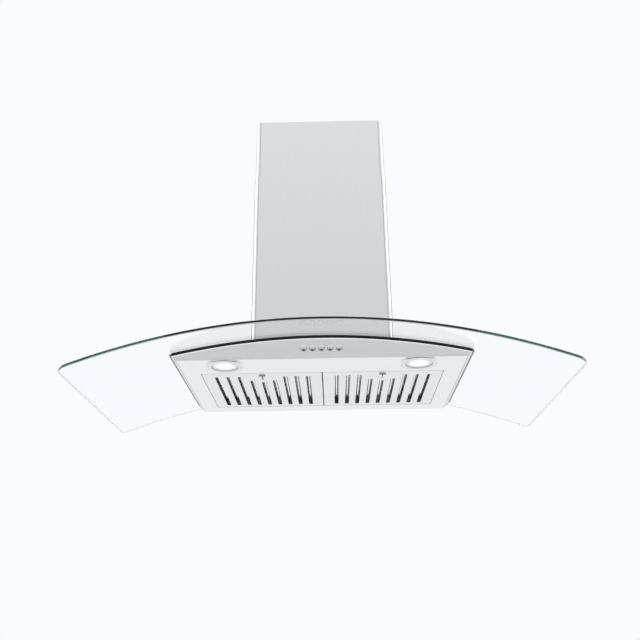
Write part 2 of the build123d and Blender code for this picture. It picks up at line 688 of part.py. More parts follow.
def button(x):
    front = BODY_FRONT_Y - BUTTON_PROUD
    cap = rod_y(BUTTON_R, front, BODY_FRONT_Y + BUTTON_TAIL, x, BUTTON_Z)
    cap = fillet(cap.edges().group_by(Axis.Y)[0], BUTTON_DOME)
    stem_end = BODY_FRONT_Y + BUTTON_TAIL + STEM_LENGTH
    return cap + rod_y(STEM_R, BODY_FRONT_Y + BUTTON_TAIL - CUT, stem_end, x, BUTTON_Z)


def switch_block():
    low = BUTTON_Z - SWITCH_HEIGHT / 2
    back = SWITCH_FRONT_Y + SWITCH_DEPTH
    case = block(-SWITCH_HALF, SWITCH_HALF, SWITCH_FRONT_Y, back, low, low + SWITCH_HEIGHT)
    case = fillet(case.edges().filter_by(Axis.X), SWITCH_ROUND)
    bore_end = BODY_FRONT_Y + BUTTON_TAIL + STEM_LENGTH + BUTTON_TRAVEL + SWITCH_BORE_SPARE
    bores = [rod_y(STEM_R + STEM_GAP, SWITCH_FRONT_Y - CUT, bore_end, x, BUTTON_Z) for x in button_places()]
    blade = Box(TERMINAL_WIDTH, TERMINAL_LENGTH, TERMINAL_THICK)
    blades = [Pos(x, back + TERMINAL_LENGTH / 2, BUTTON_Z) * blade for x in button_places()]
    screw_mid = (SWITCH_FRONT_Y + back) / 2
    bite = SWITCH_SCREW_BITE + CUT
    for end in (-SWITCH_HALF, SWITCH_HALF):
        bores.append(rod_x(SCREW_R, end - bite, end + bite, screw_mid, BUTTON_Z))
    return case + blades - bores


def switch_bracket():
    """Channel behind the front panel, with two ears that carry the switch."""
    low = BUTTON_Z - BRACKET_HEIGHT / 2
    high = low + BRACKET_HEIGHT
    front = BODY_FRONT_Y + BODY_SHEET
    half = SWITCH_HALF + BRACKET_SHEET
    plate = block(-half - BRACKET_LIP, half + BRACKET_LIP, front, front + BRACKET_SHEET, low, high)
    for x in button_places():
        plate -= rod_y(BUTTON_R + 2 * BUTTON_GAP, front - CUT, front + BRACKET_SHEET + CUT, x, BUTTON_Z)
    for side in (-1, 1):
        x0, x1 = sorted((side * SWITCH_HALF, side * half))
        ear = block(x0, x1, front, SWITCH_FRONT_Y + SWITCH_DEPTH, low, high)
        plate += ear
    screw_mid = SWITCH_FRONT_Y + SWITCH_DEPTH / 2
    return plate - rod_x(SCREW_R + BOLT_GAP, -half - CUT, half + CUT, screw_mid, BUTTON_Z)


def switch_screws():
    half = SWITCH_HALF + BRACKET_SHEET
    mid = SWITCH_FRONT_Y + SWITCH_DEPTH / 2
    screw = pan_screw(BRACKET_SHEET + SWITCH_SCREW_BITE)
    return group(Pos(s * half, mid, BUTTON_Z) * Rot(0, 90 * s, 0) * screw for s in (-1, 1))


# Blower housing

def cover_half():
    return HOUSING_HALF - COVER_MARGIN


def cover_span():
    return GLASS_TOP_Z + COVER_BOTTOM, HOUSING_TOP_Z - COVER_MARGIN


def cover_screw_places():
    low, high = cover_span()
    half = cover_half() - COVER_LAP / 2
    zs = (low + COVER_LAP / 2, (low + high) / 2, high - COVER_LAP / 2)
    return [(s * half, z) for s in (-1, 1) for z in zs]


def blower_housing():
    low = between(0, 0)[0]
    shell = housing_plan(0, low, HOUSING_TOP_Z)
    shell -= housing_plan(HOUSING_SHEET, low - CUT, HOUSING_TOP_Z - HOUSING_SHEET)
    shell -= arch(PAD_TOP_R)
    z0, z1 = between(0, GLASS_RISE)
    flange = housing_plan(0, z0, z1) - housing_plan(HOUSING_FLANGE, z0, z1)
    shell += flange & arch_band(PAD_TOP_R, HOUSING_SHEET)
    shell -= bolt_holes(BOLT_R + BOLT_GAP)
    top0, top1 = SCROLL_TOP_Z - CUT, HOUSING_TOP_Z + CUT
    shell -= rod_z(DUCT_R - DUCT_WALL - OUTLET_HOLE_GAP, top0, top1, 0, OUTLET_Y)
    shell -= [rod_z(SCREW_R, top0, top1, x, y) for x, y in collar_screw_places()]
    c0, c1 = cover_span()
    lap = cover_half() - COVER_LAP
    front0, front1 = HOUSING_FRONT_Y - CUT, HOUSING_FRONT_Y + HOUSING_SHEET + CUT
    shell -= block(-lap, lap, front0, front1, c0 + COVER_LAP, c1 - COVER_LAP)
    shell -= [rod_y(SCREW_R, front0, front1, x, z) for x, z in cover_screw_places()]
    back0, back1 = HOUSING_BACK_Y - HOUSING_SHEET - CUT, HOUSING_BACK_Y + CUT
    window = RAIL_HOOK_WIDTH / 2 + RAIL_SHEET
    shell -= block(-window, window, back0, back1, RAIL_HOOK_Z - RAIL_WINDOW, RAIL_HOOK_Z)
    shell -= [rod_y(RAIL_ACCESS_R, back0, back1, s * RAIL_HOLE_SPREAD / 2, 0) for s in (-1, 1)]
    return shell


def service_cover():
    low, high = cover_span()
    half = cover_half()
    face = HOUSING_FRONT_Y - HOUSING_SHEET
    plate = block(-half, half, face, HOUSING_FRONT_Y, low, high)
    rib = Pos(0, face - COVER_RIB / 2, (low + high) / 2) * Box(COVER_RIB_WIDTH, COVER_RIB, COVER_RIB_HEIGHT)
    plate += fillet(rib.edges().group_by(Axis.Y)[0], COVER_RIB_ROUND)
    return plate - [rod_y(SCREW_R + BOLT_GAP, face - CUT, HOUSING_FRONT_Y + CUT, x, z)
                    for x, z in cover_screw_places()]


def cover_screws():
    face = HOUSING_FRONT_Y - HOUSING_SHEET
    screw = pan_screw(COVER_SCREW)
    return group(Pos(x, face, z) * Rot(90, 0, 0) * screw for x, z in cover_screw_places())


# Scroll, impeller, motor

def scroll_face(grow):
    """Side view of the scroll: three growing quarter arcs that lead into an upward outlet."""
    r_a = SCROLL_R + grow
    r_b = r_a + SCROLL_STEP
    r_c = r_b + SCROLL_STEP
    mid_y = SCROLL_Y - SCROLL_STEP
    mid_z = SCROLL_Z + SCROLL_STEP
    k = sqrt(0.5)
    tongue = (SCROLL_Y + grow, SCROLL_Z + sqrt(r_a ** 2 - grow ** 2))
    back = (SCROLL_Y + r_a, SCROLL_Z)
    bottom = (mid_y, SCROLL_Z - r_b)
    front = (mid_y - r_c, mid_z)
    edges = [
        ThreePointArc(tongue, (SCROLL_Y + r_a * k, SCROLL_Z + r_a * k), back),
        ThreePointArc(back, (mid_y + r_b * k, SCROLL_Z - r_b * k), bottom),
        ThreePointArc(bottom, (mid_y - r_c * k, mid_z - r_c * k), front),
        Polyline(front, (front[0], SCROLL_TOP_Z), (tongue[0], SCROLL_TOP_Z), tongue),
    ]
    return make_face(edges)


def scroll_half(side):
    """One half of the scroll: its part of the wall, a side plate and the inlet lip."""
    half = SCROLL_WIDTH / 2
    outline = Plane.YZ * scroll_face(SCROLL_WALL)
    hollow = Plane.YZ * scroll_face(0)
    wall = extrude(outline - hollow, amount=side * half)
    plate = Pos(side * (half - SCROLL_WALL), 0, 0) * extrude(outline, amount=side * SCROLL_WALL)
    x0, x1 = sorted((side * (half - SCROLL_WALL), side * (half + INLET_LIP)))
    lip = rod_x(INLET_R + SCROLL_WALL, x0, x1, SCROLL_Y, SCROLL_Z)
    hole = rod_x(INLET_R, x0 - CUT, x1 + CUT, SCROLL_Y, SCROLL_Z)
    return wall + plate + lip - hole


def blade_face():
    """Forward-curved blade between two arcs."""
    inner = IMPELLER_R - BLADE_DEPTH

    def at(radius, angle):
        return (radius * cos(radians(angle)), radius * sin(radians(angle)))

    thick = degrees(BLADE_THICK / IMPELLER_R)
    middle = IMPELLER_R - BLADE_DEPTH / 2
    return make_face([
        ThreePointArc(at(inner, 0), at(middle, BLADE_BOW), at(IMPELLER_R, BLADE_SWEEP)),
        Line(at(IMPELLER_R, BLADE_SWEEP), at(IMPELLER_R, BLADE_SWEEP + thick)),
        ThreePointArc(at(IMPELLER_R, BLADE_SWEEP + thick), at(middle, BLADE_BOW + thick), at(inner, thick)),
        Line(at(inner, thick), at(inner, 0)),
    ])


def impeller():
    """Double-inlet drum: a middle disc, curved blades, two end rings and a hub."""
    half = IMPELLER_WIDTH / 2
    blade = Pos(0, 0, -half) * extrude(blade_face(), amount=IMPELLER_WIDTH)
    solids = [Rot(0, 0, 360 / BLADE_COUNT * i) * blade for i in range(BLADE_COUNT)]
    outer, inner = IMPELLER_R + BLADE_THICK, IMPELLER_R - IMPELLER_RING
    for z in (-half, half - IMPELLER_RING):
        solids.append(ring_z(outer, inner, z, z + IMPELLER_RING, 0, 0))
    drum = Cylinder(IMPELLER_R, IMPELLER_DISC) + solids + Cylinder(HUB_R, HUB_LENGTH)
    drum -= Cylinder(SHAFT_R, HUB_LENGTH + 2 * CUT)
    return Pos(0, SCROLL_Y, SCROLL_Z) * Rot(0, 90, 0) * drum


def motor_shaft():
    return rod_x(SHAFT_R, MOTOR_BACK_X - SHAFT_IN_MOTOR, HUB_LENGTH / 2, SCROLL_Y, SCROLL_Z)


def motor():
    case = rod_x(MOTOR_R, MOTOR_FRONT_X, MOTOR_BACK_X, SCROLL_Y, SCROLL_Z)
    case = chamfer(case.edges().filter_by(GeomType.CIRCLE), MOTOR_BEVEL)
    bore_end = MOTOR_BACK_X - SHAFT_IN_MOTOR - FLOAT
    case -= rod_x(SHAFT_R + SHAFT_GAP, bore_end, MOTOR_BACK_X + CUT, SCROLL_Y, SCROLL_Z)
    return case + rod_x(HUB_R, SPIDER_X, MOTOR_FRONT_X + CUT, SCROLL_Y, SCROLL_Z)


def spider_places():
    return [360 / SPIDER_ARMS * i + 90 for i in range(SPIDER_ARMS)]


def motor_bracket():
    """Three-armed bracket that holds the motor in the left inlet."""
    reach = INLET_R + SCROLL_WALL + SPIDER_SEAT
    plate = Cylinder(HUB_R + SPIDER_SEAT, SPIDER_SHEET)
    seat_depth = -SCROLL_WIDTH / 2 - SPIDER_X
    for turn in spider_places():
        arm = block(0, reach, -SPIDER_WIDTH / 2, SPIDER_WIDTH / 2, -SPIDER_SHEET / 2, SPIDER_SHEET / 2)
        arm += block(reach - SPIDER_FOOT, reach, -SPIDER_WIDTH / 2, SPIDER_WIDTH / 2,
                     -SPIDER_SHEET / 2, SPIDER_SHEET / 2 + seat_depth)
        plate += Rot(0, 0, turn) * arm
    return Pos(SPIDER_X - SPIDER_SHEET / 2, SCROLL_Y, SCROLL_Z) * Rot(0, 90, 0) * plate


def capacitor():
    can = rod_z(CAPACITOR_R, CAPACITOR_Z, CAPACITOR_Z + CAPACITOR_HEIGHT, CAPACITOR_X, CAPACITOR_Y)
    can = fillet(can.edges().filter_by(GeomType.CIRCLE), CAPACITOR_ROUND)
    blade = Box(TERMINAL_THICK, TERMINAL_WIDTH, TERMINAL_LENGTH)
    blade_z = CAPACITOR_Z + CAPACITOR_HEIGHT + TERMINAL_LENGTH / 2
    off = CAPACITOR_TERMINALS / 2
    return can + [Pos(CAPACITOR_X + s * off, CAPACITOR_Y, blade_z) * blade for s in (-1, 1)]


def capacitor_strap():
    mid = CAPACITOR_Z + CAPACITOR_HEIGHT / 2
    low, high = mid - STRAP_HEIGHT / 2, mid + STRAP_HEIGHT / 2
    inner = CAPACITOR_R + FLOAT / 2
    strap = rod_z(inner + STRAP_SHEET, low, high, CAPACITOR_X, CAPACITOR_Y)
    strap += block(-HOUSING_HALF + HOUSING_SHEET, CAPACITOR_X, CAPACITOR_Y - STRAP_FOOT / 2,
                   CAPACITOR_Y + STRAP_FOOT / 2, low, high)
    return strap - rod_z(inner, low - CUT, high + CUT, CAPACITOR_X, CAPACITOR_Y)


# Junction box

def junction_box():
    x0, x1 = BOX_LEFT_X, BOX_LEFT_X + BOX_WIDTH
    y0, y1 = BOX_BACK_Y - BOX_LENGTH, BOX_BACK_Y
    box = block(x0, x1, y0, y1, HOUSING_TOP_Z, HOUSING_TOP_Z + BOX_HEIGHT)
    box = fillet(box.edges().filter_by(Axis.Z), BOX_WALL)
    box -= block(x0 + BOX_WALL, x1 - BOX_WALL, y0 + BOX_WALL, y1 - BOX_WALL,
                 HOUSING_TOP_Z + BOX_WALL, HOUSING_TOP_Z + BOX_HEIGHT + CUT)
    gland_z = HOUSING_TOP_Z + BOX_HEIGHT / 2
    return box - rod_y(GLAND_THREAD_R, y0 - CUT, y0 + BOX_WALL + CUT, (x0 + x1) / 2, gland_z)


def junction_lid():
    x0, x1 = BOX_LEFT_X, BOX_LEFT_X + BOX_WIDTH
    y0, y1 = BOX_BACK_Y - BOX_LENGTH, BOX_BACK_Y
    low = HOUSING_TOP_Z + BOX_HEIGHT
    lid = block(x0, x1, y0, y1, low, low + BOX_LID)
    return fillet(lid.edges().group_by(Axis.Z)[-1], BOX_LID_ROUND)


def cable_gland():
    """Screwed gland for the mains lead in the front end of the junction box."""
    x = BOX_LEFT_X + BOX_WIDTH / 2
    z = HOUSING_TOP_Z + BOX_HEIGHT / 2
    wall = BOX_BACK_Y - BOX_LENGTH
    mouth = wall - GLAND_LENGTH
    tail = wall + BOX_WALL + GLAND_TAIL
    nut = Pos(x, wall, z) * Rot(90, 0, 0) * extrude(RegularPolygon(GLAND_R, 6), amount=GLAND_NUT)
    thread = rod_y(GLAND_THREAD_R, mouth + GLAND_CAP / 2, tail, x, z)
    cap = rod_y(GLAND_CAP_R, mouth, mouth + GLAND_CAP, x, z)
    cap = fillet(cap.edges().group_by(Axis.Y)[0], GLAND_CAP_ROUND)
    return nut + thread + cap - rod_y(GLAND_BORE, mouth - CUT, tail + CUT, x, z)


# Duct collar and damper

def collar_screw_places():
    off = COLLAR_HALF - SCREW_HEAD_R - COLLAR_SCREW_EDGE
    return [(sx * off, OUTLET_Y + sy * off) for sx in (-1, 1) for sy in (-1, 1)]


def outlet_collar():
    low = HOUSING_TOP_Z
    flange_top = low + DUCT_FLANGE
    top = flange_top + DUCT_HEIGHT
    flange = prism(2 * COLLAR_HALF, 2 * COLLAR_HALF, DUCT_FLANGE_LAP, 0, OUTLET_Y, low, flange_top)
    tube = rod_z(DUCT_R, low, top, 0, OUTLET_Y)
    tube = fillet(tube.edges().group_by(Axis.Z)[-1], DUCT_LIP_ROUND)
    inner = DUCT_R - DUCT_WALL
    bore = rod_z(inner, low - CUT, top + CUT, 0, OUTLET_Y)
    stop_top = DAMPER_Z - DAMPER_THICK / 2 - FLOAT
    stop = ring_z(inner + DUCT_WALL / 2, inner - DAMPER_STOP, stop_top - DUCT_WALL, stop_top, 0, OUTLET_Y)
    collar = flange + tube - bore + stop
    collar -= rod_x(DAMPER_PIN_R + DAMPER_PIN_GAP, -DUCT_R - CUT, DUCT_R + CUT, OUTLET_Y, DAMPER_Z)
    for x, y in collar_screw_places():
        collar -= rod_z(SCREW_R + BOLT_GAP, low - CUT, flange_top + CUT, x, y)
    return collar


def collar_screws():
    top = HOUSING_TOP_Z + DUCT_FLANGE
    screw = pan_screw(DUCT_FLANGE + COLLAR_SCREW_BITE)
    return group(Pos(x, y, top) * screw for x, y in collar_screw_places())


def damper_pin():
    return rod_x(DAMPER_PIN_R, -DUCT_R, DUCT_R, OUTLET_Y, DAMPER_Z)


def damper_flap(way):
    """Half-round flap on the pin: way -1 is the front half and +1 the rear half."""
    radius = DUCT_R - DUCT_WALL - DAMPER_EDGE_GAP
    clear = DAMPER_KNUCKLE_R + 2 * FLOAT
    half = DAMPER_THICK / 2
    plate = rod_z(radius, -half, half, 0, 0)
    y0, y1 = sorted((way * clear, way * (radius + CUT)))
    plate &= block(-radius, radius, y0, y1, -DAMPER_THICK, DAMPER_THICK)
    flap = [plate]
    w0, w1 = sorted((way * DAMPER_PIN_R, way * (clear + CUT)))
    pitch = DAMPER_KNUCKLE + DAMPER_KNUCKLE_GAP
    for i in range(0 if way < 0 else 1, DAMPER_KNUCKLES, 2):
        mid = (i - (DAMPER_KNUCKLES - 1) / 2) * pitch
        x0, x1 = mid - DAMPER_KNUCKLE / 2, mid + DAMPER_KNUCKLE / 2
        flap += [rod_x(DAMPER_KNUCKLE_R, x0, x1, 0, 0), block(x0, x1, w0, w1, -half, half)]
    flap = Part() + flap
    flap -= rod_x(DAMPER_PIN_R + DAMPER_PIN_GAP, -radius - CUT, radius + CUT, 0, 0)
    return Pos(0, OUTLET_Y, DAMPER_Z) * flap


# Chimney and wall fixings

def chimney_section(inset, z0, z1):
    """Folded sheet open to the wall, with a narrow return along each rear edge."""
    half = CHIMNEY_WIDTH / 2 - inset
    front, back = CHIMNEY_FRONT_Y + inset, CHIMNEY_BACK_Y - inset
    outer = block(-half, half, front, back, z0, z1)
    outer = fillet(outer.edges().filter_by(Axis.Z).group_by(Axis.Y)[0], CHIMNEY_CORNER - inset)
    s = CHIMNEY_SHEET
    inner = block(-half + s, half - s, front + s, back - s, z0 - CUT, z1 + CUT)
    inner = fillet(inner.edges().filter_by(Axis.Z).group_by(Axis.Y)[0], CHIMNEY_CORNER - inset - s)
    mouth = half - CHIMNEY_RETURN
    return outer - inner - block(-mouth, mouth, back - 2 * s, back + CUT, z0 - CUT, z1 + CUT)


def side_clip_places():
    """Middle of each side clip, in Y and Z."""
    glass_z = ARCH_Z + sqrt(GLASS_TOP_R ** 2 - HOUSING_HALF ** 2)
    z = glass_z + PAD_THICK + SIDE_CLIP_LIFT + SIDE_CLIP_HEIGHT / 2
    return [(y, z) for y in (HOUSING_FRONT_Y + SIDE_CLIP_DEPTH, HOUSING_BACK_Y - SIDE_CLIP_DEPTH)]


def chimney_glides():
    """Short ribs inside the lower cover's mouth, which guide the upper cover."""
    low = LOWER_TOP_Z - GLIDE_HEIGHT
    face = CHIMNEY_WIDTH / 2 - CHIMNEY_SHEET
    reach = CHIMNEY_SLIP - FLOAT
    front = CHIMNEY_FRONT_Y + CHIMNEY_SHEET
    half = GLIDE_WIDTH / 2
    ribs = []
    for side in (-1, 1):
        x0, x1 = sorted((side * (face + FLOAT), side * (face - reach)))
        for y in (CHIMNEY_FRONT_Y + GLIDE_EDGE, CHIMNEY_BACK_Y - GLIDE_EDGE):
            ribs.append(block(x0, x1, y - half, y + half, low, LOWER_TOP_Z))
        x = side * (CHIMNEY_WIDTH / 2 - GLIDE_EDGE)
        ribs.append(block(x - half, x + half, front - FLOAT, front + reach, low, LOWER_TOP_Z))
    return ribs


def chimney_lower():
    cover = chimney_section(0, between(0, 0)[0], LOWER_TOP_Z) - arch(GLASS_TOP_R + FLOAT)
    cover += chimney_glides()
    half = CHIMNEY_WIDTH / 2 + CUT
    return cover - [rod_x(SCREW_R + BOLT_GAP, -half, half, y, z) for y, z in side_clip_places()]


def top_screw_place():
    y = CHIMNEY_BACK_Y - UPPER_INSET - TOP_BRACKET_LEG - TOP_BRACKET_EAR / 2
    return y, TOP_BRACKET_Z + TOP_BRACKET_HEIGHT / 2


def chimney_upper():
    cover = chimney_section(UPPER_INSET, UPPER_TOP_Z - UPPER_LENGTH, UPPER_TOP_Z)
    y, z = top_screw_place()
    return cover - rod_x(SCREW_R + BOLT_GAP, -UPPER_HALF - CUT, UPPER_HALF + CUT, y, z)


def chimney_clips():
    """Small angles between the blower housing and the lower chimney cover."""
    clips = []
    s = SIDE_CLIP_SHEET
    inner_face = CHIMNEY_WIDTH / 2 - CHIMNEY_SHEET
    for y, z in side_clip_places():
        z0, z1 = z - SIDE_CLIP_HEIGHT / 2, z + SIDE_CLIP_HEIGHT / 2
        d = SIDE_CLIP_DEPTH / 2
        clip = block(HOUSING_HALF, HOUSING_HALF + s, y - d, y + d, z0, z1)
        clip += block(HOUSING_HALF, inner_face, y - d, y + d, z0, z0 + s)
        clip += block(inner_face - s, inner_face, y - d, y + d, z0, z1)
        clip -= rod_x(SCREW_R, inner_face - s - CUT, inner_face + CUT, y, z)
        clips += [clip, mirror(clip, about=Plane.YZ)]
    return group(clips)


def clip_screws():
    half = CHIMNEY_WIDTH / 2
    screw = pan_screw(CHIMNEY_SHEET + SIDE_CLIP_SHEET + SHEET_SCREW_END)
    return group(Pos(s * half, y, z) * Rot(0, 90 * s, 0) * screw
                 for s in (-1, 1) for y, z in side_clip_places())


def top_bracket():
    """Wall bracket in the top of the chimney, with an ear for each side of the upper cover."""
    s = TOP_BRACKET_SHEET
    z0, z1 = TOP_BRACKET_Z, TOP_BRACKET_Z + TOP_BRACKET_HEIGHT
    half = UPPER_HALF - CHIMNEY_RETURN - s
    inner_face = UPPER_HALF - CHIMNEY_SHEET
    leg_y = CHIMNEY_BACK_Y - UPPER_INSET - TOP_BRACKET_LEG
    bracket = block(-half, half, -s, 0, z0, z1)
    for side in (-1, 1):
        leg = block(half - s, half, leg_y, 0, z0, z1)
        leg += block(half - s, inner_face, leg_y, leg_y + s, z0, z1)
        leg += block(inner_face - s, inner_face, leg_y - TOP_BRACKET_EAR, leg_y + s, z0, z1)
        bracket += leg if side > 0 else mirror(leg, about=Plane.YZ)
    y, z = top_screw_place()
    bracket -= rod_x(SCREW_R, -UPPER_HALF, UPPER_HALF, y, z)
    for side in (-1, 1):
        bracket -= rod_y(TOP_BRACKET_HOLE_R, -s - CUT, CUT, side * TOP_BRACKET_SPREAD / 2, z)
    return bracket


def top_screws():
    y, z = top_screw_place()
    screw = pan_screw(CHIMNEY_SHEET + TOP_BRACKET_SHEET + SHEET_SCREW_END)
    return group(Pos(s * UPPER_HALF, y, z) * Rot(0, 90 * s, 0) * screw for s in (-1, 1))


def wall_rail():
    """Rail screwed to the wall; its hook catches the window in the back of the blower housing."""
    s = RAIL_SHEET
    rail = block(-RAIL_WIDTH / 2, RAIL_WIDTH / 2, -s, 0, -RAIL_BELOW, RAIL_HOOK_Z)
    hook_front = HOUSING_BACK_Y - HOUSING_SHEET - s - RAIL_HOOK_GAP
    hook_half = RAIL_HOOK_WIDTH / 2
    hook_low, hook_high = RAIL_HOOK_Z - s, RAIL_HOOK_Z + RAIL_HOOK_RISE
    rail += block(-hook_half, hook_half, hook_front, 0, hook_low, RAIL_HOOK_Z)
    rail += block(-hook_half, hook_half, hook_front, hook_front + s, hook_low, hook_high)
    return rail - [rod_y(RAIL_HOLE_R, -s - CUT, CUT, side * RAIL_HOLE_SPREAD / 2, 0) for side in (-1, 1)]


# All nodes

def nodes():
    made = {
        "glass_canopy": glass_canopy(),
        "glass_gasket": glass_gasket(),
        "body_pan": body_pan(),
        "top_plate": top_plate(),
        "throat_collar": throat_collar(),
        "blower_pad": blower_pad(),
        "clamp_bolts": clamp_bolts(),
        "switch_block": switch_block(),
        "switch_bracket": switch_bracket(),
        "switch_screws": switch_screws(),
        "blower_housing": blower_housing(),
        "service_cover": service_cover(),
        "cover_screws": cover_screws(),
        "scroll_left": scroll_half(-1),
        "scroll_right": scroll_half(1),
        "impeller": impeller(),
        "motor_shaft": motor_shaft(),
        "motor": motor(),
        "motor_bracket": motor_bracket(),
        "capacitor": capacitor(),
        "capacitor_strap": capacitor_strap(),
        "junction_box": junction_box(),
        "junction_lid": junction_lid(),
        "cable_gland": cable_gland(),
        "outlet_collar": outlet_collar(),
        "collar_screws": collar_screws(),
        "damper_pin": damper_pin(),
        "damper_front": damper_flap(-1),
        "damper_rear": damper_flap(1),
        "chimney_lower": chimney_lower(),
        "chimney_clips": chimney_clips(),
        "clip_screws": clip_screws(),
        "chimney_upper": chimney_upper(),
        "top_bracket": top_bracket(),
        "top_screws": top_screws(),
        "wall_rail": wall_rail(),
    }
    for number, x in enumerate(button_places(), start=1):
        made[f"button_{number}"] = button(x)
    for name, side in SIDES.items():
        made[f"filter_{name}_pan"] = filter_pan(side)
        made[f"filter_{name}_baffles"] = filter_baffles(side)
        made[f"filter_{name}_latch"] = filter_latch(side)
        made[f"filter_{name}_guide"] = filter_guide(side)
        made[f"lamp_{name}_bezel"] = lamp_bezel(side)
        made[f"lamp_{name}_lens"] = lamp_lens(side)
        made[f"lamp_{name}_board"] = lamp_board(side)
        made[f"lamp_{name}_housing"] = lamp_housing(side)
        made[f"lamp_{name}_clips"] = lamp_clips(side)
    return made


os.makedirs("parts", exist_ok=True)
for node_name, shape in nodes().items():
    export_step(shape, f"parts/{node_name}.step")
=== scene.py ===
import json
from math import cos, pi, radians, sin, sqrt

import bpy
from mathutils import Matrix, Vector
from mathutils.geometry import delaunay_2d_cdt


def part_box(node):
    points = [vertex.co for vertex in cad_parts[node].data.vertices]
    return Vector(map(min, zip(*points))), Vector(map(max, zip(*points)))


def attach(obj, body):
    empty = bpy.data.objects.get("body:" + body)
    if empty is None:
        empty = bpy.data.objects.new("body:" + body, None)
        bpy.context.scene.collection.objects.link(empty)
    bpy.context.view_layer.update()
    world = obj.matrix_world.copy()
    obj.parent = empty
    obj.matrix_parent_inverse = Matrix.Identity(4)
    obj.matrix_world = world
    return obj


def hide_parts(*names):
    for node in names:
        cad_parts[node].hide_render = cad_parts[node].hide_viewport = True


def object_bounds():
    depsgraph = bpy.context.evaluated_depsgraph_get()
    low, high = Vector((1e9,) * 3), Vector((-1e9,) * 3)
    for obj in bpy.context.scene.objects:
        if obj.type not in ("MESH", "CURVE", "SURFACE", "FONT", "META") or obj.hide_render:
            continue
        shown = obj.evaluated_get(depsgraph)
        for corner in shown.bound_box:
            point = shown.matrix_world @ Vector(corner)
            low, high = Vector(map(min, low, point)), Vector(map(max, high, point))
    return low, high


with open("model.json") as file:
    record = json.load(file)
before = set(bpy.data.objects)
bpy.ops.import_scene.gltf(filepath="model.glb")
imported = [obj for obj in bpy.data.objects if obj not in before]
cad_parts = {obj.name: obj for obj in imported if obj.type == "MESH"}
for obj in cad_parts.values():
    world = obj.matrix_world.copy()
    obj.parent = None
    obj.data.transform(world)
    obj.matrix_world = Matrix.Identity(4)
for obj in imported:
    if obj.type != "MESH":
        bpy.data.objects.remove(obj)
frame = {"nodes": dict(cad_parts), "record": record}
CAD_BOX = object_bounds()
NODES = frame["nodes"]
MM = 0.001
WHOLE = (0.0, 1.0)

# Camera, in metres and degrees: below the hood, looking up
CAMERA_PLACE = (0.0180, -1.6403, -0.7067)
CAMERA_PITCH = 22.641
CAMERA_YAW = -0.889
CAMERA_ROLL = -0.672
CAMERA_LENS = 42.35
SENSOR = 36.0

# World: greys are shares of white; RISE, SIDE and TURN are the parts of a direction along Z,
# Y and X between which they come in or end
WHITE = (0.956, 0.965, 1.0)
BLACK = (0.0, 0.0, 0.0)
AMBIENT = 0.62
FRONT_GREYS = (0.61, 0.81)
FRONT_RISE = (0.0, 0.5)
FRONT_SIDE = (-0.85, -0.65)
CEILING_RISE = (0.72, 0.86)
SIDE_GREY = 0.6
SIDE_TURN = (0.55, 0.85)
SIDE_RISE = (0.08, 0.3)
BEHIND_GREY = 0.5
BEHIND_RISE = (0.04, 0.25)
BEHIND_SIDE = (0.1, 0.4)

# Floor, in metres: its greys are for metal alone
FLOOR_DROP = 1.6
FLOOR_SIZE = 9.0
FLOOR_TONES = ((0.84, 0.845, 0.85), (0.88, 0.885, 0.89))
FLOOR_CLOUD = 1.5
FLOOR_ROUGH = 0.8
FLOOR_GREY = 0.8
FLOOR_BACK = (0.2, 1.4)
HOB_DARK = 0.05
HOB_PLACE = (0.0, -1.0)
HOB_WIDTH = 2.6
HOB_FADE = (0.7, 1.5)

# Softboxes: name, place, target, size, power, and whether metal mirrors them
LIGHTS = (
    ("key", (-0.9, -2.2, 2.2), (0, -0.2, 0), (1.6, 1.2), 24, False),
    ("left", (-2.4, -0.4, 1.4), (0, -0.2, 0), (1.0, 1.8), 9, True),
    ("right", (2.4, -0.4, 1.4), (0, -0.2, 0), (1.0, 1.8), 9, True),
)

# Light paths
GLASS_BOUNCES = 48
AT_LEAST_ONCE = 0.5

# Glass: its shape, with the angle of a sharp edge in degrees
GLASS_ARRIS = 1.0 * MM
GLASS_STEP = 10 * MM
GLASS_CORNER = 18 * MM
GLASS_SHARP = 30
GLASS_WELD = 1e-7
CORNER_STEPS = 10
HOLE_STEPS = 32
FRONT_EDGE = 0.9
PRINT_REACH = 4 * MM
PRINT_FRONT_REACH = 0.5 * MM
PRINT_BAND = 55 * MM
PRINT_CORNER = 8 * MM
THROAT_CUT_IN = 8 * MM
THROAT_CORNER = 14 * MM
BOLT_HEAD_R = 5 * MM
BOLT_HOLE_R = 5 * MM

# Glass: its looks, with the tint's strength per metre
GLASS_SLOTS = ("glass", "glass_print", "glass_front", "glass_arris", "glass_edge")
GLASS_IOR = 1.5
GLASS_TINT = (0.5, 0.84, 0.81)
GLASS_DENSITY = 9.0

# Body steel: painted shade as a black band under the gasket, a rolled lip along the top, and a
# bend along the bottom painted pale as painted light
GASKET_HEIGHT = 4.5 * MM
GASKET_SHADE_HEIGHT = 1.0 * MM
GASKET_SHADE_BLUR = 0.1
# Black of the band painted along the top edge under the gasket: painted shade
GASKET_SHADE_BLACK = 0.006
LIP_HEIGHT = 2.6 * MM
LIP_BLUR = 0.4
LIP_LEAN = 0.42
LIP_POLISH = 0.3
FOLD_START = (0.1 * MM, 0.3 * MM)
FOLD_END = (2.2 * MM, 3.3 * MM)
FOLD_ROUGH = 0.85
# The bend is painted white and matt: painted light
FOLD_PAINTED_LIGHT = 1.0
FOLD_METAL = 0.0

# Chimney steel: a dark line of painted shade where the front corners start to bend
COVER_STEEL = (0.875, 0.88, 0.885)
CORNER_LINE = 9.2 * MM
CORNER_WIDTH = (0.6 * MM, 1.6 * MM)
# Grey of the line along the corners: painted shade
CORNER_SHADE_TONE = 0.6
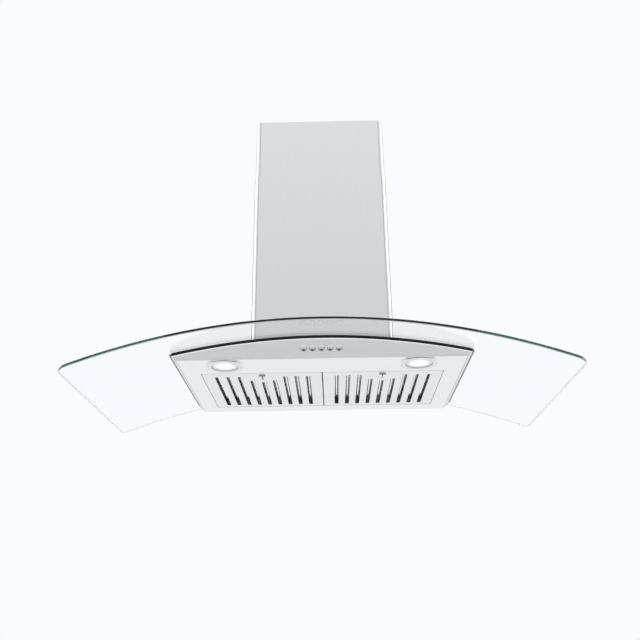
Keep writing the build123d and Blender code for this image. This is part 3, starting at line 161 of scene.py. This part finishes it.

# Lamps: radii where the glow fades and where the painted highlight on the bezel's rim starts
LENS_FADE = (13.0 * MM, 24.0 * MM)
LENS_GLOW = (0.78, 0.36)
LENS_TONES = ((0.26, 0.26, 0.26), (0.3, 0.3, 0.3))
LENS_ROUGH = 0.35
BEZEL_HIGHLIGHT_LINE = (33.6 * MM, 34.4 * MM)
# Chrome inside the rim, and the paler outer rim, which is a painted highlight
BEZEL_HIGHLIGHT_TONES = ((0.73, 0.735, 0.74), (0.97, 0.975, 0.98))
BEZEL_ROUGH = (0.1, 0.18)

# Noise keeps mostly between these
NOISE_LOW = 0.3
NOISE_HIGH = 0.7

# Textures, as waves or cells per metre
SCRATCH_ALONG = 14
SCRATCH_ACROSS = 2600
POLISH_CLOUD = 9
SPANGLE = 95
ZINC_GRAIN = 900
WIPE = (120, 120, 700)
MOULD_CLOUD = 22
PEEL = 420
ENAMEL_CLOUD = 30
RIPPLE = 7
LENS_GRAIN = 620
LENS_FROST = 60

# Share of the cloud in brushed steel's roughness, and of clear coat on enamel
POLISH_SHARE = 0.2
ENAMEL_COAT = 0.3

# Darkest and lightest share of a finish's colour
SCRATCH_TONES = (0.96, 1.03)
SPANGLE_TONES = (0.86, 1.1)
WIPE_TONES = (0.97, 1.02)
MOULD_TONES = (0.88, 1.12)
ENAMEL_TONES = (0.9, 1.1)

# Least and greatest roughness: added to the finish's own, apart from zinc's, which is as it
# is, and that of wiping marks, which is a factor
SCRATCH_ROUGH = (-0.03, 0.04)
ZINC_ROUGH = (0.32, 0.5)
WIPE_ROUGH = (0.7, 1.4)
MOULD_ROUGH = (-0.08, 0.08)
PEEL_ROUGH = (-0.05, 0.07)

# Strength and depth of relief
SCRATCH_RELIEF = (0.12, 0.02 * MM)
ZINC_RELIEF = (0.15, 0.03 * MM)
WIPE_RELIEF = (0.03, 0.02 * MM)
MOULD_DEPTH = 0.08 * MM
PEEL_RELIEF = (0.12, 0.06 * MM)
RIPPLE_RELIEF = (0.05, 0.2 * MM)
LENS_RELIEF = (0.2, 0.2 * MM)


# Helpers

def new_material(name):
    """A material, its node tree and its main shader."""
    material = bpy.data.materials.new(name)
    material.use_nodes = True
    return material, material.node_tree, material.node_tree.nodes["Principled BSDF"]


def join(tree, value, socket):
    """Links another node's output to a socket, or sets the socket to a plain value."""
    if isinstance(value, bpy.types.NodeSocket):
        tree.links.new(value, socket)
    else:
        socket.default_value = value


def fill(tree, node, **values):
    """Links or sets some of a node's inputs; names use _ for a space."""
    for name, value in values.items():
        join(tree, value, node.inputs[name.replace("_", " ")])
    return node


def add(tree, kind, **values):
    """A new node with some of its inputs filled."""
    return fill(tree, tree.nodes.new(kind), **values)


def place(tree, scale=1):
    """The part's own coordinates in metres, stretched alike or along each axis."""
    coords = tree.nodes.new("ShaderNodeTexCoord")
    scales = (scale,) * 3 if isinstance(scale, (int, float)) else scale
    mapping = add(tree, "ShaderNodeMapping", Vector=coords.outputs["Object"], Scale=scales)
    return mapping.outputs["Vector"]


def axes(tree, vector):
    """The X, Y and Z of a vector."""
    return add(tree, "ShaderNodeSeparateXYZ", Vector=vector).outputs


def noise(tree, scale, detail=3.0, roughness=0.6):
    node = add(tree, "ShaderNodeTexNoise", Vector=place(tree, scale), Scale=1.0,
               Detail=detail, Roughness=roughness)
    return node.outputs["Fac"]


def cells(tree, scale):
    return add(tree, "ShaderNodeTexVoronoi", Vector=place(tree, scale), Scale=1.0)


def ranged(tree, value, low, high, start=NOISE_LOW, end=NOISE_HIGH):
    """A value between start and end, spread over low to high."""
    node = add(tree, "ShaderNodeMapRange", Value=value, From_Min=start, From_Max=end,
               To_Min=low, To_Max=high)
    return node.outputs["Result"]


def rising(tree, value, start, end):
    """Nought up to the start, and one from the end on."""
    return ranged(tree, value, 0.0, 1.0, start, end)


def falling(tree, value, start, end):
    """One up to the start, and nought from the end on."""
    return ranged(tree, value, 1.0, 0.0, start, end)


def tinted(tree, value, dark, light, start=NOISE_LOW, end=NOISE_HIGH):
    """A colour that runs from dark to light with a value."""
    ramp = add(tree, "ShaderNodeValToRGB", Fac=value)
    for element, colour, at in zip(ramp.color_ramp.elements, (dark, light), (start, end)):
        element.position = at
        element.color = (*colour, 1.0)
    return ramp.outputs["Color"]


def bump(tree, shader, value, strength, depth):
    node = add(tree, "ShaderNodeBump", Height=value, Strength=strength, Distance=depth)
    fill(tree, shader, Normal=node.outputs["Normal"])


def mixed_shader(tree, factor, first, second):
    node = add(tree, "ShaderNodeMixShader", Fac=factor)
    for shader, socket in zip((first, second), node.inputs[1:]):
        join(tree, shader.outputs[0], socket)
    return node


def operated(tree, kind, operation, values):
    """A node that does an operation on values, which may be plain numbers."""
    node = tree.nodes.new(kind)
    node.operation = operation
    for value, socket in zip(values, node.inputs):
        join(tree, value, socket)
    return node


def maths(tree, operation, *values):
    return operated(tree, "ShaderNodeMath", operation, values).outputs[0]


def vectors(tree, operation, *values):
    node = operated(tree, "ShaderNodeVectorMath", operation, values)
    return node.outputs["Value" if operation == "DISTANCE" else "Vector"]


def shade(colour, factor):
    return tuple(min(1.0, c * factor) for c in colour)


def shades(colour, factors):
    return [shade(colour, factor) for factor in factors]


def source(shader, name):
    """The output that is linked to one of the shader's inputs."""
    return shader.inputs[name].links[0].from_socket


def tone_over(tree, shader, share, tone):
    """Lays a plain grey tone over the shader's colour where the share is one."""
    mixed = add(tree, "ShaderNodeMixRGB", Fac=share, Color1=source(shader, "Base Color"),
                Color2=(tone, tone, tone, 1.0))
    fill(tree, shader, Base_Color=mixed.outputs[0])


def new_object(name, verts, polygons, materials):
    """An object in the scene, made from points and faces."""
    mesh = bpy.data.meshes.new(name)
    mesh.from_pydata(verts, [], polygons)
    for material in materials:
        mesh.materials.append(material)
    made = bpy.data.objects.new(name, mesh)
    bpy.context.scene.collection.objects.link(made)
    return made


# Materials

def brushed(name, colour, grain, rough):
    """Brushed steel: fine scratches drawn out along one axis, and a slow cloud of polish."""
    material, tree, shader = new_material(name)
    stretch = [SCRATCH_ALONG if axis == grain else SCRATCH_ACROSS for axis in "XYZ"]
    scratch = noise(tree, stretch, detail=4.0, roughness=0.7)
    cloud = noise(tree, POLISH_CLOUD, detail=2.0)
    mixed = add(tree, "ShaderNodeMix", Factor=POLISH_SHARE, A=scratch, B=cloud)
    least, most = (rough + more for more in SCRATCH_ROUGH)
    fill(tree, shader, Metallic=1.0,
         Base_Color=tinted(tree, scratch, *shades(colour, SCRATCH_TONES)),
         Roughness=ranged(tree, mixed.outputs[0], least, most))
    bump(tree, shader, scratch, *SCRATCH_RELIEF)
    return material


def cover_steel(name, colour, rough, node):
    """A chimney cover's brushed steel, with a dark line of painted shade just inside its front
    corners, where they start to bend.
    """
    material = brushed(name, colour, "Z", rough)
    tree = material.node_tree
    side = maths(tree, "ABSOLUTE", axes(tree, place(tree))["X"])
    away = maths(tree, "SUBTRACT", side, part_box(node)[1].x - CORNER_LINE)
    # Painted shade along the start of the bend
    corner_shade = falling(tree, maths(tree, "ABSOLUTE", away), *CORNER_WIDTH)
    tone_over(tree, tree.nodes["Principled BSDF"], corner_shade, CORNER_SHADE_TONE)
    return material


def top_lip(tree):
    """One on the lip along the body's top edge, and one on the black band of painted shade above
    it, under the gasket.
    """
    arch = Arch()
    away = vectors(tree, "DISTANCE", place(tree, (1, 0, 1)), (0, 0, arch.centre_z))
    top = arch.radius - GASKET_HEIGHT - GASKET_SHADE_HEIGHT
    lip = rising(tree, away, top - LIP_HEIGHT, top - (1 - LIP_BLUR) * LIP_HEIGHT)
    blur = GASKET_SHADE_BLUR * GASKET_SHADE_HEIGHT
    return lip, rising(tree, away, top - blur, top + blur)


def leaning_back(tree, share):
    """The surface's normals, which lean back where the lip is rolled."""
    lean = add(tree, "ShaderNodeCombineXYZ", Z=maths(tree, "MULTIPLY", share, LIP_LEAN))
    plain = tree.nodes.new("ShaderNodeNewGeometry")
    leant = vectors(tree, "ADD", plain.outputs["Normal"], lean.outputs[0])
    return vectors(tree, "NORMALIZE", leant)


def bottom_fold(tree):
    """One along the bend at the body's bottom edge, and nought elsewhere."""
    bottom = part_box("body_pan")[0].z
    height = axes(tree, place(tree))["Z"]
    return maths(tree, "MULTIPLY", rising(tree, height, *(bottom + at for at in FOLD_START)),
                 falling(tree, height, *(bottom + at for at in FOLD_END)))


def panel_steel(name, colour, rough):
    """The body's brushed steel: a black band of painted shade under the gasket, a rolled lip on
    top, and a bend below painted pale and matt as painted light.
    """
    material = brushed(name, colour, "X", rough)
    tree = material.node_tree
    shader = tree.nodes["Principled BSDF"]
    (lip, gasket_shade), fold = top_lip(tree), bottom_fold(tree)
    dull = maths(tree, "MAXIMUM", source(shader, "Roughness"),
                 maths(tree, "MULTIPLY", fold, FOLD_ROUGH))
    polish = ranged(tree, lip, 1.0, LIP_POLISH, *WHOLE)
    # Painted light on the bend, and painted shade in the band under the gasket
    tone_over(tree, shader, fold, FOLD_PAINTED_LIGHT)
    tone_over(tree, shader, gasket_shade, GASKET_SHADE_BLACK)
    fill(tree, shader, Roughness=maths(tree, "MULTIPLY", dull, polish),
         Metallic=ranged(tree, fold, 1.0, FOLD_METAL, *WHOLE))
    fill(tree, source(shader, "Normal").node, Normal=leaning_back(tree, lip))
    return material


def zinc(name, colour):
    """Zinc-coated sheet: a spangle of small crystals that differ in tone."""
    material, tree, shader = new_material(name)
    spangle = cells(tree, SPANGLE)
    tone = add(tree, "ShaderNodeSeparateColor", Color=spangle.outputs["Color"])
    fill(tree, shader, Metallic=1.0,
         Base_Color=tinted(tree, tone.outputs[0], *shades(colour, SPANGLE_TONES), *WHOLE),
         Roughness=ranged(tree, tone.outputs[1], *ZINC_ROUGH, *WHOLE))
    bump(tree, shader, noise(tree, ZINC_GRAIN), *ZINC_RELIEF)
    return material


def wiped(tree, shader, least, most):
    """Makes a shader metal with faint wiping marks in its roughness, and gives the marks."""
    wipe = noise(tree, WIPE, detail=4.0)
    fill(tree, shader, Metallic=1.0, Roughness=ranged(tree, wipe, least, most))
    bump(tree, shader, wipe, *WIPE_RELIEF)
    return wipe


def polished(name, colour, rough):
    """Plated and polished metal."""
    material, tree, shader = new_material(name)
    wipe = wiped(tree, shader, *(rough * factor for factor in WIPE_ROUGH))
    fill(tree, shader, Base_Color=tinted(tree, wipe, *shades(colour, WIPE_TONES)))
    return material


def moulded(name, colour, rough, grain=1400, strength=0.2):
    """Moulded plastic or rubber with a fine spark-eroded texture, or ground glass."""
    material, tree, shader = new_material(name)
    pebble = noise(tree, grain, detail=2.0)
    least, most = (rough + more for more in MOULD_ROUGH)
    fill(tree, shader, Roughness=ranged(tree, pebble, least, most),
         Base_Color=tinted(tree, noise(tree, MOULD_CLOUD), *shades(colour, MOULD_TONES)))
    bump(tree, shader, pebble, strength, MOULD_DEPTH)
    return material


def enamel(name, colour, rough):
    """Baked enamel with a slight orange-peel surface."""
    material, tree, shader = new_material(name)
    peel = noise(tree, PEEL, detail=1.0)
    least, most = (rough + more for more in PEEL_ROUGH)
    fill(tree, shader, Coat_Weight=ENAMEL_COAT, Roughness=ranged(tree, peel, least, most),
         Base_Color=tinted(tree, noise(tree, ENAMEL_CLOUD), *shades(colour, ENAMEL_TONES)))
    bump(tree, shader, peel, *PEEL_RELIEF)
    return material


def clear_glass(name, colour, rough, alpha=1.0):
    """Toughened glass: clear through its thickness, teal along its length."""
    material, tree, shader = new_material(name)
    fill(tree, shader, Alpha=alpha, Base_Color=(*colour, 1.0), Roughness=rough, IOR=GLASS_IOR,
         Transmission_Weight=1.0)
    bump(tree, shader, noise(tree, RIPPLE, detail=0.0), *RIPPLE_RELIEF)
    tint = add(tree, "ShaderNodeVolumeAbsorption", Density=GLASS_DENSITY,
               Color=(*GLASS_TINT, 1.0))
    fill(tree, tree.nodes["Material Output"], Volume=tint.outputs["Volume"])
    return material


def lamp_radius(tree):
    """Distance in metres from the middle of the nearer lamp."""
    low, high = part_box("lamp_right_lens")
    middle = [abs(a + b) / 2 for a, b in zip(low, high)]
    return vectors(tree, "DISTANCE", vectors(tree, "ABSOLUTE", place(tree)), middle)


def bezel_chrome(name):
    """Satin chrome, paler along the outer rim where the bezel meets the steel: a painted
    highlight.
    """
    material, tree, shader = new_material(name)
    wiped(tree, shader, *BEZEL_ROUGH)
    # Painted highlight along the outer rim
    rim = rising(tree, lamp_radius(tree), *BEZEL_HIGHLIGHT_LINE)
    fill(tree, shader, Base_Color=tinted(tree, rim, *BEZEL_HIGHLIGHT_TONES, *WHOLE))
    return material


def lit_lens(name):
    """Frosted lens lit from behind: brightest in the middle, with a fine prismatic grain."""
    material, tree, shader = new_material(name)
    rim = rising(tree, lamp_radius(tree), *LENS_FADE)
    fill(tree, shader, Roughness=LENS_ROUGH, Emission_Strength=1.0,
         Base_Color=tinted(tree, noise(tree, LENS_FROST), *LENS_TONES),
         Emission_Color=tinted(tree, rim, *shades(WHITE, LENS_GLOW), *WHOLE))
    bump(tree, shader, cells(tree, LENS_GRAIN).outputs["Distance"], *LENS_RELIEF)
    return material


def make_materials():
    """Materials for the record's slots, for nodes with a finish of their own, and the glass."""
    return {
        "glass": clear_glass("glass_clear", (1.0, 1.0, 1.0), 0.0),
        "glass_front": clear_glass("glass_edge_polished", (0.02, 0.13, 0.11), 0.0),
        "glass_edge": clear_glass("glass_edge_ground", (0.86, 0.9, 0.9), 0.5, alpha=0.3),
        "glass_arris": moulded("glass_arris_ground", (0.86, 0.89, 0.89), 0.5,
                               grain=3000, strength=0.1),
        "gasket_rubber": moulded("rubber_black", (0.006, 0.007, 0.010), 0.6, grain=900),
        "chimney_lower": cover_steel("steel_cover_lower", COVER_STEEL, 0.3, "chimney_lower"),
        "chimney_upper": cover_steel("steel_cover_upper", COVER_STEEL, 0.3, "chimney_upper"),
        "body_pan": panel_steel("steel_brushed_along", (0.9, 0.905, 0.91), 0.3),
        "filter_steel": brushed("steel_filter", COVER_STEEL, "Y", 0.34),
        # Baffles are paler than the filter's steel: painted light where they show through the
        # slots
        "baffle_steel": brushed("steel_baffle_painted_light", (0.94, 0.945, 0.95), "Y", 0.17),
        "galvanised": zinc("zinc_sheet", (0.62, 0.64, 0.65)),
        # Darker steel: partly the latch's own tone, partly painted shade where its plate shows
        # through the slot
        "latch_steel": brushed("steel_dark_and_painted_shade", (0.6, 0.6, 0.59), "X", 0.4),
        "fastener_steel": polished("steel_screw", (0.66, 0.67, 0.68), 0.25),
        "button_chrome": polished("chrome_button", (0.82, 0.83, 0.84), 0.08),
        "bezel_chrome": bezel_chrome("chrome_satin"),
        "lamp_lens": lit_lens("lens_lit"),
        "lamp_board": enamel("board_white", (0.86, 0.86, 0.82), 0.4),
        "lamp_alloy": polished("alloy_cast", (0.68, 0.69, 0.7), 0.42),
        "black_plastic": moulded("plastic_black", (0.022, 0.022, 0.024), 0.5),
        "grey_plastic": moulded("plastic_grey", (0.3, 0.31, 0.32), 0.5),
        "motor_paint": enamel("enamel_charcoal", (0.09, 0.095, 0.1), 0.35),
        "capacitor_shell": enamel("shell_white", (0.8, 0.8, 0.76), 0.35),
        "glass_print": enamel("print_black", (0.006, 0.006, 0.007), 0.3),
    }


def dress(materials):
    """Gives every CAD node its own material, or that of its slot in the record."""
    for part in frame["record"]["subparts"]:
        node = part["node"]
        data = NODES[node].data
        data.materials.clear()
        data.materials.append(materials[node if node in materials else part["material_slot"]])


# Glass canopy

class Arch:
    """The canopy's arch, read from the boxes of the glass and its gasket."""

    def __init__(self):
        self.low, self.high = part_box("glass_canopy")
        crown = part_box("glass_gasket")[1].z
        self.thick = self.high.z - crown
        rise = crown - self.low.z
        half = (self.high.x - self.low.x) / 2
        self.radius = (half ** 2 + rise ** 2) / (2 * rise)
        self.centre_z = crown - self.radius

    def z(self, x, height):
        """Height of the arch at x, a height above its underside at the crown."""
        return self.centre_z + sqrt((self.radius + height) ** 2 - x ** 2)

    def bent(self, outline, height, lift=0.0):
        """A flat outline's points on the arch, lifted straight up."""
        return [(p.x, p.y, self.z(p.x, height) + lift) for p in outline]


def arc(x, y, radius, turns):
    return [Vector((x + radius * cos(turn), y + radius * sin(turn))) for turn in turns]


def circle(x, y, radius):
    return arc(x, y, radius, [2 * pi * i / HOLE_STEPS for i in range(HOLE_STEPS)])


def divided(points, step):
    """A closed outline with its long sides cut into steps."""
    made = []
    for a, b in zip(points, points[1:] + points[:1]):
        pieces = max(1, round((b - a).length / step))
        made += [a.lerp(b, i / pieces) for i in range(pieces)]
    return made


def rounded(low, high, corner, grow=0.0):
    """A rounded rectangle, counter-clockwise, with each side moved out by grow."""
    radius = max(corner + grow, GLASS_ARRIS)
    x0, y0, x1, y1 = low[0] - grow, low[1] - grow, high[0] + grow, high[1] + grow
    centres = ((x1 - radius, y1 - radius), (x0 + radius, y1 - radius),
               (x0 + radius, y0 + radius), (x1 - radius, y0 + radius))
    points = []
    for quarter, centre in enumerate(centres):
        turns = [(quarter + i / CORNER_STEPS) * pi / 2 for i in range(CORNER_STEPS + 1)]
        points += arc(*centre, radius, turns)
    return divided(points, GLASS_STEP)


def inset(outline, amount):
    """A counter-clockwise outline moved in by an amount along its own normals."""
    moved = []
    for i, point in enumerate(outline):
        along = (outline[(i + 1) % len(outline)] - outline[i - 1]).normalized()
        moved.append(point + Vector((-along.y, along.x)) * amount)
    return moved


def inside(point, outline):
    """True where a point lies in a closed outline."""
    hit = False
    for a, b in zip(outline, outline[1:] + outline[:1]):
        if (a.y > point.y) != (b.y > point.y):
            if point.x < a.x + (point.y - a.y) / (b.y - a.y) * (b.x - a.x):
                hit = not hit
    return hit


def between(point, outlines):
    """True where a point lies in the first outline and in none of the others."""
    outer, *cuts = outlines
    return inside(point, outer) and not any(inside(point, cut) for cut in cuts)


def bolt_places():
    """The centres of the four clamp bolts, whose hexagon heads fill the corners of their box."""
    low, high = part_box("clamp_bolts")
    across = BOLT_HEAD_R * cos(pi / 6)
    return [(x, y) for x in (low.x + BOLT_HEAD_R, high.x - BOLT_HEAD_R)
            for y in (low.y + across, high.y - across)]


def glass_walls(arch):
    """Outlines of the glass, its throat and its bolt holes."""
    outer = rounded(arch.low, arch.high, GLASS_CORNER)
    throat = rounded(*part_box("throat_collar"), THROAT_CORNER + THROAT_CUT_IN, -THROAT_CUT_IN)
    return [outer, throat] + [circle(x, y, BOLT_HOLE_R) for x, y in bolt_places()]


def printed_band():
    """Outer and inner outline of the black band printed below the glass."""
    low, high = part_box("body_pan")
    front = Vector((low.x, low.y + PRINT_REACH - PRINT_FRONT_REACH))
    return [rounded(front, high, PRINT_CORNER, PRINT_REACH),
            rounded(low, high, PRINT_CORNER, -PRINT_BAND)]


def grid_points(points, rings):
    """Points of a grid between the rings, away from the points that are there already."""
    low = [min(p[i] for p in points) for i in (0, 1)]
    high = [max(p[i] for p in points) for i in (0, 1)]
    columns, rows = (round((high[i] - low[i]) / GLASS_STEP) for i in (0, 1))

    def cell(point):
        return round(point.x / GLASS_STEP), round(point.y / GLASS_STEP)

    taken = {cell(p) for p in points}
    grid = [Vector((low[0] + i * GLASS_STEP, low[1] + j * GLASS_STEP))
            for i in range(1, columns) for j in range(1, rows)]
    return [p for p in grid if cell(p) not in taken and between(p, rings)]


def sheet_faces(rings, borders):
    """A flat sheet between its rings, with the borders drawn in.

    Gives its points, its faces with their middles, and the points of each ring in order.
    """
    points, edges, starts = [], [], []
    for ring in rings + borders:
        first = len(points)
        starts.append(first)
        points += ring
        edges += [(first + i, first + (i + 1) % len(ring)) for i in range(len(ring))]
    points += grid_points(points, rings)
    verts, _, faces, origin, _, _ = delaunay_2d_cdt(points, edges, [], 0, GLASS_WELD)
    where = {old: new for new, olds in enumerate(origin) for old in olds}
    middles = [sum((verts[i] for i in face), Vector((0, 0))) / len(face) for face in faces]
    kept = [(face, middle) for face, middle in zip(faces, middles) if between(middle, rings)]
    order = [[where[first + i] for i in range(len(ring))] for ring, first in zip(rings, starts)]
    return verts, kept, order


def edge_faces(levels, outer):
    """Faces of an edge between its levels, each with its level and its place along the edge."""
    size = len(levels[0])
    for step, (below, above) in enumerate(zip(levels, levels[1:])):
        for i in range(size):
            j = (i + 1) % size
            quad = (below[i], below[j], above[j], above[i])
            yield step, i, quad if outer else tuple(reversed(quad))


def glass_mesh():
    """The glass's points, its faces, and the slot of each face."""
    clear, print_black, front_edge, front_arris, other_edge = range(len(GLASS_SLOTS))
    arch = Arch()
    walls, band = glass_walls(arch), printed_band()
    rings = [inset(walls[0], GLASS_ARRIS)] + [inset(cut, -GLASS_ARRIS) for cut in walls[1:]]
    flat, faces, order = sheet_faces(rings, band)
    count = len(flat)
    verts = arch.bent(flat, 0) + arch.bent(flat, arch.thick)
    polygons, slots = [], []
    for face, middle in faces:
        polygons += [tuple(reversed(face)), tuple(i + count for i in face)]
        slots += [print_black if between(middle, band) else clear, clear]
    for wall, ring in zip(walls, order):
        outer = wall is walls[0]
        lower = range(len(verts), len(verts) + len(wall))
        upper = [i + len(wall) for i in lower]
        verts += arch.bent(wall, 0, GLASS_ARRIS) + arch.bent(wall, arch.thick, -GLASS_ARRIS)
        levels = [ring, lower, upper, [i + count for i in ring]]
        for step, i, face in edge_faces(levels, outer):
            along = (wall[(i + 1) % len(wall)] - wall[i]).normalized()
            in_front = outer and along.x > FRONT_EDGE
            polygons.append(face)
            slots.append((front_arris, front_edge, front_arris)[step] if in_front else other_edge)
    return verts, polygons, slots


def make_glass(materials):
    """The curved glass: two arched faces, edges with a ground arris, and a band printed below."""
    verts, polygons, slots = glass_mesh()
    glass = new_object("canopy_glass", verts, polygons, [materials[slot] for slot in GLASS_SLOTS])
    mesh = glass.data
    mesh.polygons.foreach_set("material_index", slots)
    mesh.polygons.foreach_set("use_smooth", [True] * len(polygons))
    mesh.set_sharp_from_angle(angle=radians(GLASS_SHARP))
    mesh.update()
    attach(glass, "hood")
    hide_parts("glass_canopy")


# Stage

def metal_floor(tree, top):
    """The floor as metal shows it: white behind, grey in front, and dark where a hob would be."""
    away = vectors(tree, "DISTANCE", place(tree, (1 / HOB_WIDTH, 1, 1)), (*HOB_PLACE, top))
    hob = ranged(tree, rising(tree, away, *HOB_FADE), HOB_DARK, 1.0, *WHOLE)
    depth = ranged(tree, axes(tree, place(tree))["Y"], FLOOR_GREY, 1.0, *FLOOR_BACK)
    light = maths(tree, "MULTIPLY", depth, hob)
    return add(tree, "ShaderNodeEmission", Strength=1.0,
               Color=tinted(tree, light, BLACK, WHITE, *WHOLE))


def pale_floor(top):
    """Pale matt floor, other in metal, and white to light that turned in the glass."""
    material, tree, shader = new_material("floor_pale")
    fill(tree, shader, Roughness=FLOOR_ROUGH,
         Base_Color=tinted(tree, noise(tree, FLOOR_CLOUD), *FLOOR_TONES))
    path = tree.nodes.new("ShaderNodeLightPath").outputs
    mirrored = maths(tree, "SUBTRACT", path["Is Glossy Ray"], path["Is Transmission Ray"])
    seen = mixed_shader(tree, mirrored, shader, metal_floor(tree, top))
    turned = maths(tree, "MULTIPLY", path["Is Transmission Ray"],
                   maths(tree, "GREATER_THAN", path["Glossy Depth"], AT_LEAST_ONCE))
    through = add(tree, "ShaderNodeEmission", Strength=1.0, Color=(*WHITE, 1.0))
    seen = mixed_shader(tree, turned, seen, through)
    fill(tree, tree.nodes["Material Output"], Surface=seen.outputs[0])
    return material


def make_floor():
    half = FLOOR_SIZE / 2
    top = CAD_BOX[0].z - FLOOR_DROP
    corners = [(-half, -half, top), (half, -half, top), (half, half, top), (-half, half, top)]
    floor = new_object("floor", corners, [(0, 1, 2, 3)], [pale_floor(top)])


def backdrop(tree, colour, strength=1.0):
    return add(tree, "ShaderNodeBackground", Color=(*colour, 1.0), Strength=strength)


def metal_world(tree):
    """The world as metal shows it: white, with grey in front, low at the sides and high behind."""
    x, y, z = axes(tree, tree.nodes.new("ShaderNodeTexCoord").outputs["Generated"])
    greys = tinted(tree, rising(tree, z, *FRONT_RISE), *shades(WHITE, FRONT_GREYS), *WHOLE)
    front = add(tree, "ShaderNodeBackground", Color=greys, Strength=1.0)
    in_front = maths(tree, "MULTIPLY", falling(tree, y, *FRONT_SIDE),
                     falling(tree, z, *CEILING_RISE))
    aside = maths(tree, "MULTIPLY", rising(tree, maths(tree, "ABSOLUTE", x), *SIDE_TURN),
                  falling(tree, z, *SIDE_RISE))
    behind = maths(tree, "MULTIPLY", rising(tree, y, *BEHIND_SIDE),
                   rising(tree, z, *BEHIND_RISE))
    seen = backdrop(tree, WHITE)
    for share, grey in ((aside, backdrop(tree, shade(WHITE, SIDE_GREY))), (in_front, front),
                        (behind, backdrop(tree, shade(WHITE, BEHIND_GREY)))):
        seen = mixed_shader(tree, share, seen, grey)
    return seen


def make_world():
    """White to the camera and through glass, with greys for metal, and plain light.

    Metal also shows the greys where its mirror image passes through the glass.
    """
    world = bpy.data.worlds.new("studio")
    bpy.context.scene.world = world
    world.use_nodes = True
    tree = world.node_tree
    tree.nodes.clear()
    path = tree.nodes.new("ShaderNodeLightPath").outputs
    once = maths(tree, "COMPARE", path["Glossy Depth"], 1.0)
    beyond = maths(tree, "MULTIPLY", path["Is Transmission Ray"], once)
    mirrored = maths(tree, "MAXIMUM", path["Is Glossy Ray"], beyond)
    through = maths(tree, "SUBTRACT", path["Is Transmission Ray"], beyond)
    seen = mixed_shader(tree, mirrored, backdrop(tree, WHITE, AMBIENT), metal_world(tree))
    for ray in (through, path["Is Camera Ray"]):
        seen = mixed_shader(tree, ray, seen, backdrop(tree, WHITE))
    add(tree, "ShaderNodeOutputWorld", Surface=seen.outputs[0])


def soft_light(name, position, target, size, power, mirrored):
    """A softbox that the camera doesn't see, and that metal shows only if it is mirrored."""
    light = bpy.data.lights.new(name, "AREA")
    light.shape = "RECTANGLE"
    light.size, light.size_y = size
    light.energy = power
    holder = bpy.data.objects.new(name, light)
    holder.location = position
    holder.rotation_mode = "QUATERNION"
    holder.rotation_quaternion = (Vector(target) - Vector(position)).to_track_quat("-Z", "Y")
    holder.visible_camera = False
    holder.visible_glossy = mirrored
    holder.visible_transmission = False
    bpy.context.scene.collection.objects.link(holder)


def make_lights():
    for light in LIGHTS:
        soft_light(*light)


def follow_glass():
    """Light is followed from edge to edge of the glass, where it turns many times."""
    paths = bpy.context.scene.cycles
    paths.max_bounces = paths.glossy_bounces = paths.transmission_bounces = GLASS_BOUNCES


def make_camera():
    """The photograph's camera, turned by its yaw, pitch and roll."""
    yaw, pitch, roll = (radians(a) for a in (CAMERA_YAW, CAMERA_PITCH, CAMERA_ROLL))
    ahead = Vector((sin(yaw) * cos(pitch), cos(yaw) * cos(pitch), sin(pitch)))
    right = Vector((cos(yaw), -sin(yaw), 0))
    up = right.cross(ahead)
    level_right = cos(roll) * right + sin(roll) * up
    level_up = cos(roll) * up - sin(roll) * right
    camera = bpy.data.objects.new("camera", bpy.data.cameras.new("camera"))
    camera.data.lens = CAMERA_LENS
    camera.data.sensor_width = SENSOR
    camera.matrix_world = Matrix((level_right, level_up, -ahead)).transposed().to_4x4()
    camera.location = CAMERA_PLACE
    bpy.context.scene.collection.objects.link(camera)
    bpy.context.scene.camera = camera


bpy.context.scene.view_settings.view_transform = "Standard"
MATERIALS = make_materials()
dress(MATERIALS)
make_glass(MATERIALS)
make_floor()
make_world()
make_lights()
follow_glass()
make_camera()
